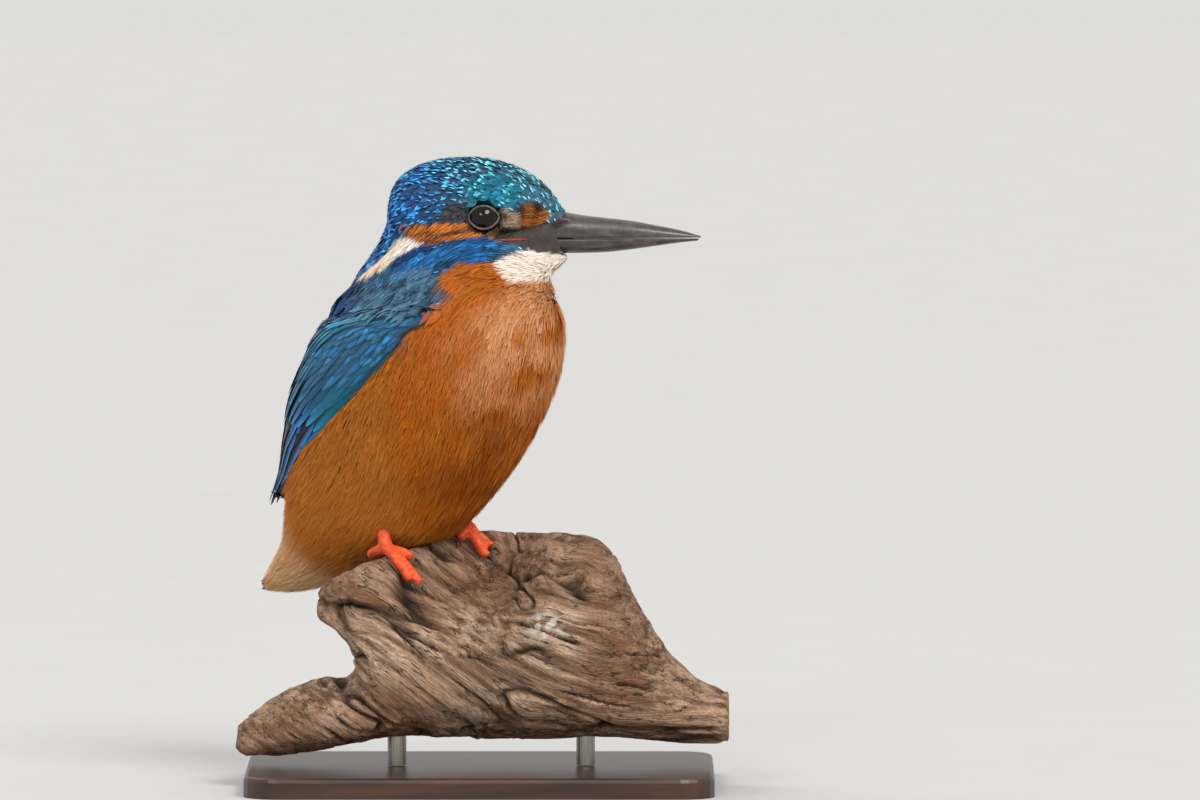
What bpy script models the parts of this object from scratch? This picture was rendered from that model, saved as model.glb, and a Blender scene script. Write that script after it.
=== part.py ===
"""A common kingfisher, life size, perched on a short piece of weathered branch on a plain display stand.

The part's frame is in metres, +Z up. Its origin is the centre of the stand base's underside. The bird's
head looks along +X. Its body is turned 42 degrees from +X towards -Y, and it sits upright.
Three sets of numbers describe it, all in millimetres:
  body numbers (a, b, c): forward, to the bird's right, and up from the level of its feet;
  head numbers (u, w, v): forward, to the head's left, and up from the middle of the eyes;
  part numbers (x, y, z): the frame itself.
"""

from math import cos, pi, radians, sin

import bmesh
import bpy
import numpy as np
from mathutils import Vector
from mathutils.bvhtree import BVHTree

MM = 0.001
GAP = 0.3  # left between two pieces that touch

BODY_ORIGIN = np.array([-11.4, 0.0, 63.0])
BODY_YAW = radians(-42.0)
FORWARD = np.array([cos(BODY_YAW), sin(BODY_YAW), 0.0])
RIGHT = np.array([sin(BODY_YAW), -cos(BODY_YAW), 0.0])
UP = np.array([0.0, 0.0, 1.0])
HEAD_ORIGIN = np.array([1.1, -4.5, 150.8])

# Trunk, tail end first: back (a, c), breast (a, c), half width.
TRUNK_STATIONS = [
    (-61.5, -12.0, -60.0, -14.6, 6.5),
    (-54.8, -4.5, -51.0, -14.5, 9.5),
    (-48.8, 4.0, -40.0, -12.0, 13.0),
    (-46.8, 12.5, -25.0, -8.0, 18.0),
    (-45.5, 21.0, -6.0, -2.0, 22.5),
    (-42.8, 31.5, 10.0, 10.5, 26.0),
    (-38.5, 43.0, 24.0, 26.0, 28.0),
    (-32.0, 54.0, 34.5, 43.0, 28.0),
    (-25.0, 64.0, 38.0, 59.0, 26.0),
    (-18.0, 72.5, 33.5, 70.5, 22.5),
    (-10.0, 79.0, 24.0, 77.0, 17.0),
]

# Neck, from the nape down: height v, back and front of its side outline (u), half width, turn to the body.
NECK_STATIONS = [
    (-2.0, -26.5, 8.0, 13.0, 0.0),
    (-7.4, -29.0, 12.0, 15.5, 5.0),
    (-12.7, -33.0, 18.0, 19.0, 14.0),
    (-18.0, -36.0, 17.8, 22.0, 26.0),
    (-24.0, -40.5, 20.0, 25.0, 38.0),
    (-33.0, -41.0, 17.0, 25.5, 42.0),
]

# Head, from the bill's base to the nape: u, top v, bottom v, half width.
HEAD_STATIONS = [
    (23.0, 1.9, -11.0, 3.4),
    (21.0, 3.6, -12.6, 4.7),
    (19.0, 6.6, -14.0, 5.9),
    (15.6, 10.3, -17.0, 7.5),
    (9.5, 14.3, -18.0, 9.7),
    (1.6, 16.7, -18.0, 11.6),
    (-6.4, 17.0, -18.0, 13.2),
    (-14.3, 15.9, -17.0, 14.0),
    (-19.5, 13.7, -15.0, 13.6),
    (-23.0, 11.0, -12.0, 12.0),
    (-25.0, 7.5, -9.0, 9.0),
    (-25.9, 3.0, -4.0, 5.0),
]

# Folded right wing, shoulder first: middle (a, b, c), way its outer face looks (degrees from forward to
# right), half breadth, half thickness. Its section is bent round the body at WING_BEND.
WING_STATIONS = [
    (15.5, 24.5, 66.0, 76.0, 8.5, 2.4),
    (-4.8, 28.1, 60.0, 103.0, 20.0, 3.7),
    (-16.4, 26.0, 50.0, 116.0, 22.5, 4.0),
    (-27.6, 22.0, 39.0, 124.0, 19.5, 3.8),
    (-37.0, 16.7, 28.0, 132.0, 15.0, 3.0),
    (-43.4, 12.8, 19.0, 136.0, 11.0, 2.1),
    (-49.6, 10.6, 11.5, 134.0, 4.4, 1.3),
    (-51.2, 10.2, 9.0, 132.0, 1.6, 0.7),
]
WING_BEND = 31.0

# Bill, base first: u, top v, bottom v, half width. The halves meet at the v of BILL_PARTING.
BILL_STATIONS = [
    (10.0, 0.8, -8.2, 2.8),
    (16.0, 1.9, -8.9, 3.8),
    (20.0, 2.1, -9.1, 4.5),
    (26.0, 0.9, -9.1, 4.0),
    (32.5, 0.2, -8.9, 3.5),
    (39.0, -0.5, -8.2, 3.1),
    (45.3, -1.7, -7.3, 2.6),
    (51.7, -2.9, -6.4, 1.9),
    (55.8, -4.1, -5.95, 1.0),
    (57.5, -4.75, -5.75, 0.4),
]
BILL_PARTING = -5.1
LOWER_BILL_SHORTER = 0.7

EYE_RADII = (4.0, 3.0, 3.6)  # forward, sideways, up
EYE_SIDE = 10.3  # each eye's centre, from the head's middle plane
EYE_RAISE = 0.9  # and over the head's origin

# Branch, left to right: x, top z, underside z, front y, back y, y of the ridge on top, how the front falls
# from the ridge (1 is a straight slope, 2 a round shoulder), and the height of the small cliff just below it.
BRANCH_STATIONS = [
    (-43.4, 49.8, 45.5, -11.0, -3.0, -8.0, 1.8, 0.0),
    (-41.8, 54.5, 43.6, -14.0, 1.0, -10.0, 1.8, 0.0),
    (-38.0, 57.0, 41.5, -17.0, 4.5, -11.5, 1.7, 0.0),
    (-34.5, 58.8, 36.0, -19.5, 8.0, -12.0, 1.6, 0.0),
    (-31.5, 60.0, 25.0, -21.0, 10.0, -12.0, 1.5, 0.0),
    (-27.0, 61.5, 16.0, -23.0, 13.0, -10.0, 1.45, 0.0),
    (-20.0, 63.3, 13.5, -25.0, 17.0, -5.0, 1.3, 0.5),
    (-12.0, 65.6, 13.0, -26.0, 20.0, 6.0, 1.25, 4.5),
    (-4.0, 67.8, 12.5, -27.0, 23.0, 13.5, 1.25, 8.5),
    (4.0, 67.9, 12.5, -27.0, 24.0, 14.5, 1.3, 8.5),
    (11.0, 67.5, 12.5, -27.0, 23.0, 12.0, 1.45, 4.0),
    (18.0, 67.0, 12.5, -27.0, 22.0, 8.0, 1.7, 0.5),
    (30.0, 66.5, 12.5, -25.0, 20.0, 2.0, 1.8, 0.0),
    (36.5, 60.0, 12.5, -23.0, 18.0, 0.0, 1.8, 0.0),
    (42.0, 49.5, 12.0, -21.0, 16.0, 0.0, 1.8, 0.0),
    (48.0, 38.5, 11.5, -19.0, 14.0, 0.0, 1.8, 0.0),
    (56.0, 30.0, 11.0, -17.0, 12.0, 0.0, 1.8, 0.0),
    (66.0, 25.5, 11.0, -15.0, 10.0, 0.0, 1.8, 0.0),
]
# The stub that reaches out low on the left, in the same numbers.
STUB_STATIONS = [
    (-65.2, 14.8, 10.0, -6.0, 2.0, -2.0, 1.8, 0.0),
    (-63.3, 18.0, 8.0, -9.5, 5.0, -2.0, 1.8, 0.0),
    (-56.5, 22.8, 7.8, -13.0, 8.5, -3.0, 1.8, 0.0),
    (-50.0, 26.6, 8.5, -15.0, 9.5, -3.0, 1.8, 0.0),
    (-42.0, 29.3, 9.5, -18.0, 11.0, -3.0, 1.8, 0.0),
    (-34.0, 30.0, 11.5, -20.0, 12.5, -4.0, 1.8, 0.0),
    (-22.0, 34.0, 13.0, -21.0, 13.0, -4.0, 1.8, 0.0),
]
CLIFF_WIDTH = 5.5
WIDEST_LEVEL = 0.42  # height of the branch's widest line, as a share of its depth

BASE_LENGTH = 124.0
BASE_DEPTH = 84.0
BASE_HEIGHT = 5.5
BASE_CORNER = 9.0
BASE_EDGE = 1.2
ROD_RADIUS = 2.5
ROD_PLACES = [(-22.0, -4.0), (28.0, -3.0)]
ROD_INTO_BRANCH = 6.0

# Each foot's heel (b, a) and turn, then its toes: turn from forward to the foot's outer side, and length.
FOOT_SPREAD = 15.2
FOOT_FORWARD = -4.4
FOOT_TURN = {"right": 0.0, "left": -14.0}
TOES = {
    "middle": (2.0, 13.5),
    "outer": (13.0, 12.0),
    "inner": (-36.0, 7.5),
    "hind": (176.0, 6.5),
}
TOE_RADIUS = (1.6, 1.25)
TARSUS_RADIUS = 1.8
CLAW_LENGTH = {"middle": 4.0, "outer": 3.6, "inner": 3.0, "hind": 3.2}
CLAW_RADIUS = (0.62, 0.17)

# Thin cuts that part the flesh into nodes: a point and the way up out of the lower piece.
HEAD_CUT = ((-4.0, 0.0, -9.5), (0.30, 0.0, 1.0))  # head numbers
NECK_CUT = ((4.0, 0.0, 66.0), (0.10, 0.0, 1.0))  # body numbers
TAIL_CUT = ((-49.5, 0.0, -4.5), (0.80, 0.0, 0.60))  # body numbers

COLOURS = {
    "crown_blue": ((0.020, 0.105, 0.150, 1.0), 0.55),
    "collar_white": ((0.70, 0.56, 0.42, 1.0), 0.75),
    "breast_orange": ((0.58, 0.22, 0.035, 1.0), 0.75),
    "tail_blue": ((0.010, 0.050, 0.140, 1.0), 0.55),
    "wing_teal": ((0.012, 0.075, 0.110, 1.0), 0.55),
    "foot_red": ((0.75, 0.075, 0.010, 1.0), 0.45),
    "claw_black": ((0.020, 0.018, 0.018, 1.0), 0.35),
    "bill_black": ((0.022, 0.022, 0.024, 1.0), 0.35),
    "eye_dark": ((0.012, 0.008, 0.006, 1.0), 0.08),
    "branch_wood": ((0.200, 0.120, 0.075, 1.0), 0.85),
    "base_wood": ((0.060, 0.032, 0.018, 1.0), 0.40),
    "rod_steel": ((0.50, 0.48, 0.45, 1.0), 0.30),
}


def clear_scene():
    for old in list(bpy.data.objects):
        bpy.data.objects.remove(old, do_unlink=True)


def material(name):
    made = bpy.data.materials.get(name)
    if made:
        return made
    colour, roughness = COLOURS[name]
    made = bpy.data.materials.new(name)
    made.use_nodes = True
    made.diffuse_color = colour
    shader = made.node_tree.nodes["Principled BSDF"]
    shader.inputs["Base Color"].default_value = colour
    shader.inputs["Roughness"].default_value = roughness
    shader.inputs["Metallic"].default_value = 1.0 if name == "rod_steel" else 0.0
    return made


def body(a, b, c):
    return BODY_ORIGIN + a * FORWARD + b * RIGHT + c * UP


def head(u, w, v):
    return HEAD_ORIGIN + np.array([u, w, v])


def filled(stations, between):
    """The stations with smooth ones added, `between` to each span (a Catmull-Rom curve)."""
    rows = np.array(stations, float)
    rows = np.vstack([2 * rows[0] - rows[1], rows, 2 * rows[-1] - rows[-2]])
    smooth = []
    for p, q, r, s in zip(rows, rows[1:], rows[2:], rows[3:]):
        for t in np.arange(between) / between:
            bend = (2 * p - 5 * q + 4 * r - s) * t * t + (3 * q - p - 3 * r + s) * t**3
            smooth.append(0.5 * (2 * q + (r - p) * t + bend))
    smooth.append(rows[-2])
    return np.array(smooth)


def oval(count, sharpness=2.0):
    """Pairs round a superellipse of unit half axes."""
    turns = [2 * pi * k / count for k in range(count)]
    power = 2.0 / sharpness
    return [
        (abs(cos(t)) ** power * (1 if cos(t) > 0 else -1), abs(sin(t)) ** power * (1 if sin(t) > 0 else -1))
        for t in turns
    ]


def loft(rings):
    """A closed bmesh skinned over rings of equal length, its ends closed by fans. Rings are in mm."""
    solid = bmesh.new()
    made = [[solid.verts.new(Vector(point) * MM) for point in ring] for ring in rings]
    count = len(made[0])
    for near, far in zip(made, made[1:]):
        for k in range(count):
            after = (k + 1) % count
            solid.faces.new((near[k], near[after], far[after], far[k]))
    for end in (made[0], made[-1]):
        middle = solid.verts.new(sum((vert.co for vert in end), Vector()) / count)
        for k in range(count):
            solid.faces.new((end[k], end[(k + 1) % count], middle))
    bmesh.ops.recalc_face_normals(solid, faces=solid.faces)
    bmesh.ops.triangulate(solid, faces=solid.faces)
    return solid


def tube(points, radii, sides=10):
    """A round tube along the points, in mm, with one radius for each."""
    points = [Vector(point) for point in points]
    rings = []
    across = None
    for k, point in enumerate(points):
        along = (points[min(k + 1, len(points) - 1)] - points[max(k - 1, 0)]).normalized()
        if across is None:
            across = along.orthogonal()
        across = (across - along * across.dot(along)).normalized()
        other = along.cross(across)
        rings.append(
            [point + radii[k] * (across * cos(2 * pi * n / sides) + other * sin(2 * pi * n / sides)) for n in range(sides)]
        )
    return loft(rings)


def add(name, solid, colour=None, parent=None):
    """An object of this bmesh, with its origin at the middle of its box. Without a colour it is a cutter."""
    mesh = bpy.data.meshes.new(name)
    corners = np.array([vert.co for vert in solid.verts])
    middle = Vector((corners.min(axis=0) + corners.max(axis=0)) / 2)
    bmesh.ops.translate(solid, verts=solid.verts, vec=-middle)
    solid.to_mesh(mesh)
    solid.free()
    made = bpy.data.objects.new(name, mesh)
    made.location = middle
    bpy.context.scene.collection.objects.link(made)
    if colour:
        mesh.materials.append(material(colour))
        mesh.shade_smooth()
        made.parent = parent
    else:
        made.hide_render = True
        made.display_type = "WIRE"
    return made


def welded(solids, voxel, rounds, triangles, swell=0.0):
    """One closed bmesh of the overlapping solids together, smoothed, and swollen by `swell` mm."""
    joined = bmesh.new()
    for solid in solids:
        lump = bpy.data.meshes.new("lump")
        solid.to_mesh(lump)
        joined.from_mesh(lump)
        bpy.data.meshes.remove(lump)
        solid.free()
    helper = add("welding", joined)
    remesh = helper.modifiers.new("remesh", "REMESH")
    remesh.mode = "VOXEL"
    remesh.voxel_size = voxel * MM
    smooth = helper.modifiers.new("smooth", "SMOOTH")
    smooth.factor = 0.5
    smooth.iterations = rounds
    if swell:
        grow = helper.modifiers.new("swell", "DISPLACE")
        grow.strength = swell * MM
        grow.mid_level = 0.0
    bpy.context.view_layer.update()
    graph = bpy.context.evaluated_depsgraph_get()
    rough = bpy.data.meshes.new_from_object(helper.evaluated_get(graph))
    count = sum(len(face.vertices) - 2 for face in rough.polygons)
    thin = helper.modifiers.new("thin", "DECIMATE")
    thin.ratio = min(1.0, triangles / count)
    bpy.context.view_layer.update()
    graph = bpy.context.evaluated_depsgraph_get()
    fine = bpy.data.meshes.new_from_object(helper.evaluated_get(graph))
    fine.transform(helper.matrix_world)
    result = bmesh.new()
    result.from_mesh(fine)
    bmesh.ops.triangulate(result, faces=result.faces)
    bpy.data.objects.remove(helper, do_unlink=True)
    bpy.data.meshes.remove(rough)
    bpy.data.meshes.remove(fine)
    return result


def kept_side(solid, point, upward, keep_above):
    """Cuts the bmesh at a plane, half the gap back from it, and keeps one side, closed by a flat face."""
    upward = Vector(upward).normalized()
    offset = (GAP / 2 if keep_above else -GAP / 2) * MM
    place = Vector(point) * MM + upward * offset
    every = solid.verts[:] + solid.edges[:] + solid.faces[:]
    bmesh.ops.bisect_plane(
        solid, geom=every, dist=1e-7, plane_co=place, plane_no=upward, clear_inner=keep_above, clear_outer=not keep_above
    )
    rim = [edge for edge in solid.edges if edge.is_boundary]
    bmesh.ops.holes_fill(solid, edges=rim, sides=0)
    bmesh.ops.triangulate(solid, faces=solid.faces)
    bmesh.ops.recalc_face_normals(solid, faces=solid.faces)
    return solid


def swollen(solid, by):
    """A copy of the bmesh with each vertex moved out along its normal."""
    grown = solid.copy()
    grown.normal_update()
    for vert in grown.verts:
        vert.co += vert.normal * by * MM
    return grown


def cut(piece, cutter):
    """Takes the cutter out of the piece."""
    modifier = piece.modifiers.new("clear_" + cutter.name, "BOOLEAN")
    modifier.operation = "DIFFERENCE"
    modifier.solver = "EXACT"
    modifier.object = cutter


def trunk_solid():
    rings = []
    for back_a, back_c, breast_a, breast_c, half in filled(TRUNK_STATIONS, 4):
        middle = ((back_a + breast_a) / 2, (back_c + breast_c) / 2)
        reach = ((breast_a - back_a) / 2, (breast_c - back_c) / 2)
        rings.append([body(middle[0] + reach[0] * s, half * t, middle[1] + reach[1] * s) for s, t in oval(28, 2.15)])
    return loft(rings)


def neck_solid():
    rings = []
    for level, rear, front, half, turn in filled(NECK_STATIONS, 3):
        turn = radians(-turn)
        reach = (front - rear) / 2
        long_half = max(reach**2 - (half * sin(turn)) ** 2, 1.0) ** 0.5 / cos(turn)
        ahead = np.array([cos(turn), sin(turn), 0.0])
        aside = np.array([-sin(turn), cos(turn), 0.0])
        middle = head((front + rear) / 2, 0.0, level)
        rings.append([middle + ahead * long_half * s + aside * half * t for s, t in oval(28, 2.1)])
    return loft(rings)


def head_solid():
    rings = []
    for along, top, bottom, half in filled(HEAD_STATIONS, 3):
        middle, reach = (top + bottom) / 2, (top - bottom) / 2
        rings.append([head(along, half * s, middle + reach * t) for s, t in oval(28, 2.25)])
    return loft(rings)


def wing_solid(side):
    """The folded wing of one side: +1 is the right wing."""
    rings = []
    for a, b, c, look, breadth, thickness in filled(WING_STATIONS, 2):
        look = radians(look)
        hub_a, hub_b = a - WING_BEND * cos(look), b - WING_BEND * sin(look)
        ring = []
        for s, t in oval(16, 2.0):
            angle = look + breadth * s / WING_BEND
            reach = WING_BEND + thickness * t
            ring.append(body(hub_a + reach * cos(angle), side * (hub_b + reach * sin(angle)), c))
        rings.append(ring)
    return loft(rings)


def bill_solid(half_name, swell=0.0):
    """The upper or lower half of the bill, or with half_name "both" the cutter that clears both."""
    rings = []
    arch = [(cos(pi * k / 10), sin(pi * k / 10) ** 0.85) for k in range(11)]
    for number, (along, top, bottom, half) in enumerate(filled(BILL_STATIONS, 2)):
        half += swell
        if swell and number == 0:
            along -= 3 * swell
        above, below = BILL_PARTING + GAP / 2, BILL_PARTING - GAP / 2
        if half_name == "upper":
            ring = [head(along, half * s, above + (top - above) * t) for s, t in arch]
        elif half_name == "lower":
            stretch = (BILL_STATIONS[-1][0] - LOWER_BILL_SHORTER) / BILL_STATIONS[-1][0]
            ring = [head(along * stretch, half * s * 0.96, below + (bottom - below) * t) for s, t in arch]
        else:
            over = [head(along, half * s, BILL_PARTING + (top + swell - BILL_PARTING) * t) for s, t in arch]
            under = [head(along, -half * s, BILL_PARTING + (bottom - swell - BILL_PARTING) * t) for s, t in arch]
            ring = over + under[1:-1]
        rings.append(ring)
    return loft(rings)


def eye_solid(side, swell=0.0):
    solid = bmesh.new()
    bmesh.ops.create_uvsphere(solid, u_segments=14, v_segments=8, radius=1.0)
    size = Vector(EYE_RADII) + Vector((swell, swell, swell))
    bmesh.ops.scale(solid, verts=solid.verts, vec=size * MM)
    bmesh.ops.translate(solid, verts=solid.verts, vec=Vector(head(0.0, side * EYE_SIDE, EYE_RAISE)) * MM)
    return solid


def branch_rings(stations):
    rings = []
    for x, top, bottom, front, back, ridge, shoulder, cliff in filled(stations, 3):
        widest = bottom + WIDEST_LEVEL * (top - bottom)
        ring = []
        for k in range(28):
            angle = 2 * pi * k / 28
            s, t = cos(angle), sin(angle)
            if t < -1e-9:
                y = (front + back) / 2 + (back - front) / 2 * s
                z = widest - (widest - bottom) * abs(t) ** 0.8
            else:
                power = 2 / (1.8 if s > 0 else shoulder)
                reach = back - ridge if s > 0 else front - ridge
                y = ridge + reach * abs(s) ** power
                z = widest + (top - widest) * abs(t) ** power
                if s < 0:
                    z -= cliff * min(1.0, (ridge - y) / CLIFF_WIDTH) * abs(t)
            ring.append((x, y, z))
        rings.append(ring)
    return rings


def branch_solid(swell=0.0):
    pieces = [loft(branch_rings(BRANCH_STATIONS)), loft(branch_rings(STUB_STATIONS))]
    return welded(pieces, 1.6, 4, 1400, swell)


def surface_of(solid):
    """A tree for finding the nearest point of this bmesh, in mm."""
    corners = [vert.co / MM for vert in solid.verts]
    solid.verts.index_update()
    faces = [[vert.index for vert in face.verts] for face in solid.faces]
    return BVHTree.FromPolygons(corners, faces)


def along_wood(wood, start, heading, length, lift, step=0.9):
    """Points that run over the wood from start, held off its surface by lift."""
    place, out, _, _ = wood.find_nearest(Vector(start))
    points = [place + out * lift]
    heading = Vector(heading)
    travelled = 0.0
    while travelled < length:
        heading = (heading - out * heading.dot(out)).normalized()
        place, out, _, _ = wood.find_nearest(place + heading * step)
        points.append(place + out * lift)
        travelled += step
    return points


def toe_heading(side, turn):
    """The way a toe points: turned from forward towards the foot's outer side."""
    angle = radians(turn)
    return FORWARD * cos(angle) + RIGHT * side * sin(angle)


def leg_and_claws(name, side, wood):
    """Returns the leg's bmesh and its claws' bmeshes by toe."""
    heel_over = body(FOOT_FORWARD, side * FOOT_SPREAD, 40.0)
    heel, _, _, _ = wood.ray_cast(Vector(heel_over), Vector((0.0, 0.0, -1.0)))
    ankle = heel + Vector((0.0, 0.0, 2.0))
    shin = Vector(body(FOOT_FORWARD - 4.0, side * (FOOT_SPREAD - 1.5), 12.0))
    tubes = [tube([ankle, ankle.lerp(shin, 0.5), shin], [TARSUS_RADIUS + 0.2, TARSUS_RADIUS, TARSUS_RADIUS])]
    claws = {}
    for toe, (turn, length) in TOES.items():
        reach = length + CLAW_LENGTH[toe] + 1.0
        path = along_wood(wood, heel, toe_heading(side, turn + FOOT_TURN[name]), reach, TOE_RADIUS[0] + 0.35)
        knuckles = int(round(length / 0.9))
        toe_path = [ankle] + path[1:knuckles]
        shrink = [TOE_RADIUS[0] + (TOE_RADIUS[1] - TOE_RADIUS[0]) * k / len(toe_path) for k in range(len(toe_path))]
        shrink[-1] *= 0.75
        tubes.append(tube(toe_path, shrink))
        claws[toe] = claw(path[knuckles:], CLAW_LENGTH[toe])
    return welded(tubes, 0.42, 3, 420), claws


def claw(path, length):
    """A curved, tapering claw that starts at the toe's end and bends down to the wood."""
    count = 5
    steps = max(2, int(round(length / 0.9)))
    origin = path[0]
    points, radii = [], []
    for k in range(count):
        t = k / (count - 1)
        place = t * (steps - 1)
        low = int(place)
        high = min(low + 1, len(path) - 1)
        point = path[low].lerp(path[high], place - low)
        arch = 0.55 * sin(pi * t) - 0.55 * t
        points.append(origin.lerp(point, 1.0) + Vector((0.0, 0.0, arch)))
        radii.append(CLAW_RADIUS[0] + (CLAW_RADIUS[1] - CLAW_RADIUS[0]) * t)
    return tube(points, radii, 6)


def rounded_slab(length, depth, height, corner, edge):
    """The stand's base: a flat slab on the floor with rounded corners and a small bevel on top."""
    slab = bmesh.new()
    rim = []
    for cx, cy, first in ((1, 1, 0), (-1, 1, 90), (-1, -1, 180), (1, -1, 270)):
        for k in range(7):
            turn = radians(first + 15.0 * k)
            x = cx * (length / 2 - corner) + corner * cos(turn)
            y = cy * (depth / 2 - corner) + corner * sin(turn)
            rim.append(slab.verts.new(Vector((x, y, 0.0)) * MM))
    bottom = slab.faces.new(rim)
    raised = bmesh.ops.extrude_face_region(slab, geom=[bottom])["geom"]
    lifted = [item for item in raised if isinstance(item, bmesh.types.BMVert)]
    bmesh.ops.translate(slab, verts=lifted, vec=Vector((0.0, 0.0, height * MM)))
    bmesh.ops.recalc_face_normals(slab, faces=slab.faces)
    top = [e for e in slab.edges if all(v.co.z > height * MM * 0.99 for v in e.verts)]
    bmesh.ops.bevel(slab, geom=top, offset=edge * MM, segments=2, profile=0.5, affect="EDGES")
    return slab


def rod_solid(x, y, low, high, radius):
    rod = bmesh.new()
    bmesh.ops.create_cone(rod, cap_ends=True, segments=20, radius1=radius * MM, radius2=radius * MM, depth=(high - low) * MM)
    bmesh.ops.translate(rod, verts=rod.verts, vec=Vector((x, y, (low + high) / 2)) * MM)
    return rod


def make_stand(branch, wood, parent):
    add("stand_base", rounded_slab(BASE_LENGTH, BASE_DEPTH, BASE_HEIGHT, BASE_CORNER, BASE_EDGE), "base_wood", parent)
    for number, (x, y) in enumerate(ROD_PLACES, 1):
        under, _, _, _ = wood.ray_cast(Vector((x, y, 1.0)), Vector((0.0, 0.0, 1.0)))
        top = under.z + ROD_INTO_BRANCH
        rod = rod_solid(x, y, BASE_HEIGHT + GAP, top, ROD_RADIUS)
        add("stand_rod_%d" % number, rod, "rod_steel", parent)
        hole = rod_solid(x, y, BASE_HEIGHT + 1.0, top + GAP, ROD_RADIUS + GAP)
        cut(branch, add("rod_hole_%d" % number, hole))


def make_flesh(parent):
    """The head, neck, trunk and tail, modelled as one shape and parted with thin cuts."""
    whole = welded([trunk_solid(), neck_solid(), head_solid()], 1.3, 5, 2600)
    head_plane = (head(*HEAD_CUT[0]), np.array(HEAD_CUT[1]))
    neck_plane = (body(*NECK_CUT[0]), FORWARD * NECK_CUT[1][0] + UP * NECK_CUT[1][2])
    tail_plane = (body(*TAIL_CUT[0]), FORWARD * TAIL_CUT[1][0] + UP * TAIL_CUT[1][2])
    pieces = {}
    for name, colour, above, below in (
        ("head", "crown_blue", head_plane, None),
        ("neck", "collar_white", neck_plane, head_plane),
        ("trunk", "breast_orange", tail_plane, neck_plane),
        ("tail", "tail_blue", None, tail_plane),
    ):
        piece = whole.copy()
        if above:
            kept_side(piece, *above, keep_above=True)
        if below:
            kept_side(piece, *below, keep_above=False)
        pieces[name] = add(name, piece, colour, parent)
    whole.free()
    return pieces


def make_wings(pieces, parent):
    for name, side in (("right", 1), ("left", -1)):
        wing = wing_solid(side)
        clearance = add("wing_bed_" + name, swollen(wing, GAP))
        add("wing_" + name, wing, "wing_teal", parent)
        for piece in ("trunk", "neck", "tail"):
            cut(pieces[piece], clearance)


def make_face(pieces, parent):
    add("bill_upper", bill_solid("upper"), "bill_black", parent)
    add("bill_lower", bill_solid("lower"), "bill_black", parent)
    cut(pieces["head"], add("bill_bed", bill_solid("both", GAP)))
    for name, side in (("right", -1), ("left", 1)):
        add("eye_" + name, eye_solid(side), "eye_dark", parent)
        cut(pieces["head"], add("eye_socket_" + name, eye_solid(side, GAP)))


def make_legs(pieces, wood, parent):
    for name, side in (("right", 1), ("left", -1)):
        leg, claws = leg_and_claws(name, side, wood)
        cut(pieces["trunk"], add("leg_bed_" + name, swollen(leg, GAP)))
        add("leg_" + name, leg, "foot_red", parent)
        for toe, solid in claws.items():
            cut(pieces["trunk"], add("claw_bed_%s_%s" % (name, toe), swollen(solid, GAP)))
            add("claw_%s_%s" % (name, toe), solid, "claw_black", parent)


def main():
    clear_scene()
    bird = bpy.data.objects.new("kingfisher", None)
    display = bpy.data.objects.new("display", None)
    for empty in (bird, display):
        bpy.context.scene.collection.objects.link(empty)
    wood_solid = branch_solid()
    wood = surface_of(wood_solid)
    wood_bed = add("wood_bed", swollen(wood_solid, GAP))
    branch = add("perch", wood_solid, "branch_wood", display)
    make_stand(branch, wood, display)
    pieces = make_flesh(bird)
    make_wings(pieces, bird)
    make_face(pieces, bird)
    make_legs(pieces, wood, bird)
    cut(pieces["trunk"], wood_bed)


main()
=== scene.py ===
"""The looks of a perched kingfisher, a life-size display model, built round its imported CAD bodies.

Lengths are millimetres up to the point where a mesh is made, which turns them into metres.
"""

from itertools import product
from math import cos, pi, radians, sin

import bmesh
import bpy
import numpy as np
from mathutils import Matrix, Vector
from mathutils.bvhtree import BVHTree


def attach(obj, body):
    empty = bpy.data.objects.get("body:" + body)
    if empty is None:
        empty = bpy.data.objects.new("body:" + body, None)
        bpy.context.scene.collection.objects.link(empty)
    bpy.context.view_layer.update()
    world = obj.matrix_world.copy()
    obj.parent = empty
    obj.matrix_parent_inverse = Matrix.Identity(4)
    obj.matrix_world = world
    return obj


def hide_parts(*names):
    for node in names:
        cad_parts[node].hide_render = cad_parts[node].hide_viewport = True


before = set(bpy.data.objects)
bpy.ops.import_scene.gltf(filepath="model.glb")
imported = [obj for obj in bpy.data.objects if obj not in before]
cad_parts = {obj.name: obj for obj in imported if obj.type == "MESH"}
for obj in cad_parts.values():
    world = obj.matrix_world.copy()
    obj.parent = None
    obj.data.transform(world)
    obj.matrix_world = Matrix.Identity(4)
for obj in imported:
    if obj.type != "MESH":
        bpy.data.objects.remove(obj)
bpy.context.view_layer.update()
MM = 0.001
CHANCE = np.random.default_rng(27)

# Places shared with the CAD: the body's own frame, the head's, and how far the neck turns between them
BODY_ORIGIN = np.array([-11.4, 0.0, 63.0])
FORWARD = np.array([0.743, -0.669, 0.0])
RIGHT = np.array([-0.669, -0.743, 0.0])
HEAD_ORIGIN = np.array([1.1, -4.5, 150.8])
TURN_LEVELS = [117.8, 126.8, 132.8, 138.1, 143.4, 148.8]
TURN_DEGREES = [42.0, 38.0, 26.0, 14.0, 5.0, 0.0]
FLESH = ["head", "neck", "trunk", "tail", "wing_left", "wing_right"]
EYE_SIDE = 10.3
EYE_RAISE = 0.9
EYE_RADII = np.array([4.0, 3.0, 3.6])  # forward, sideways, up

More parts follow.
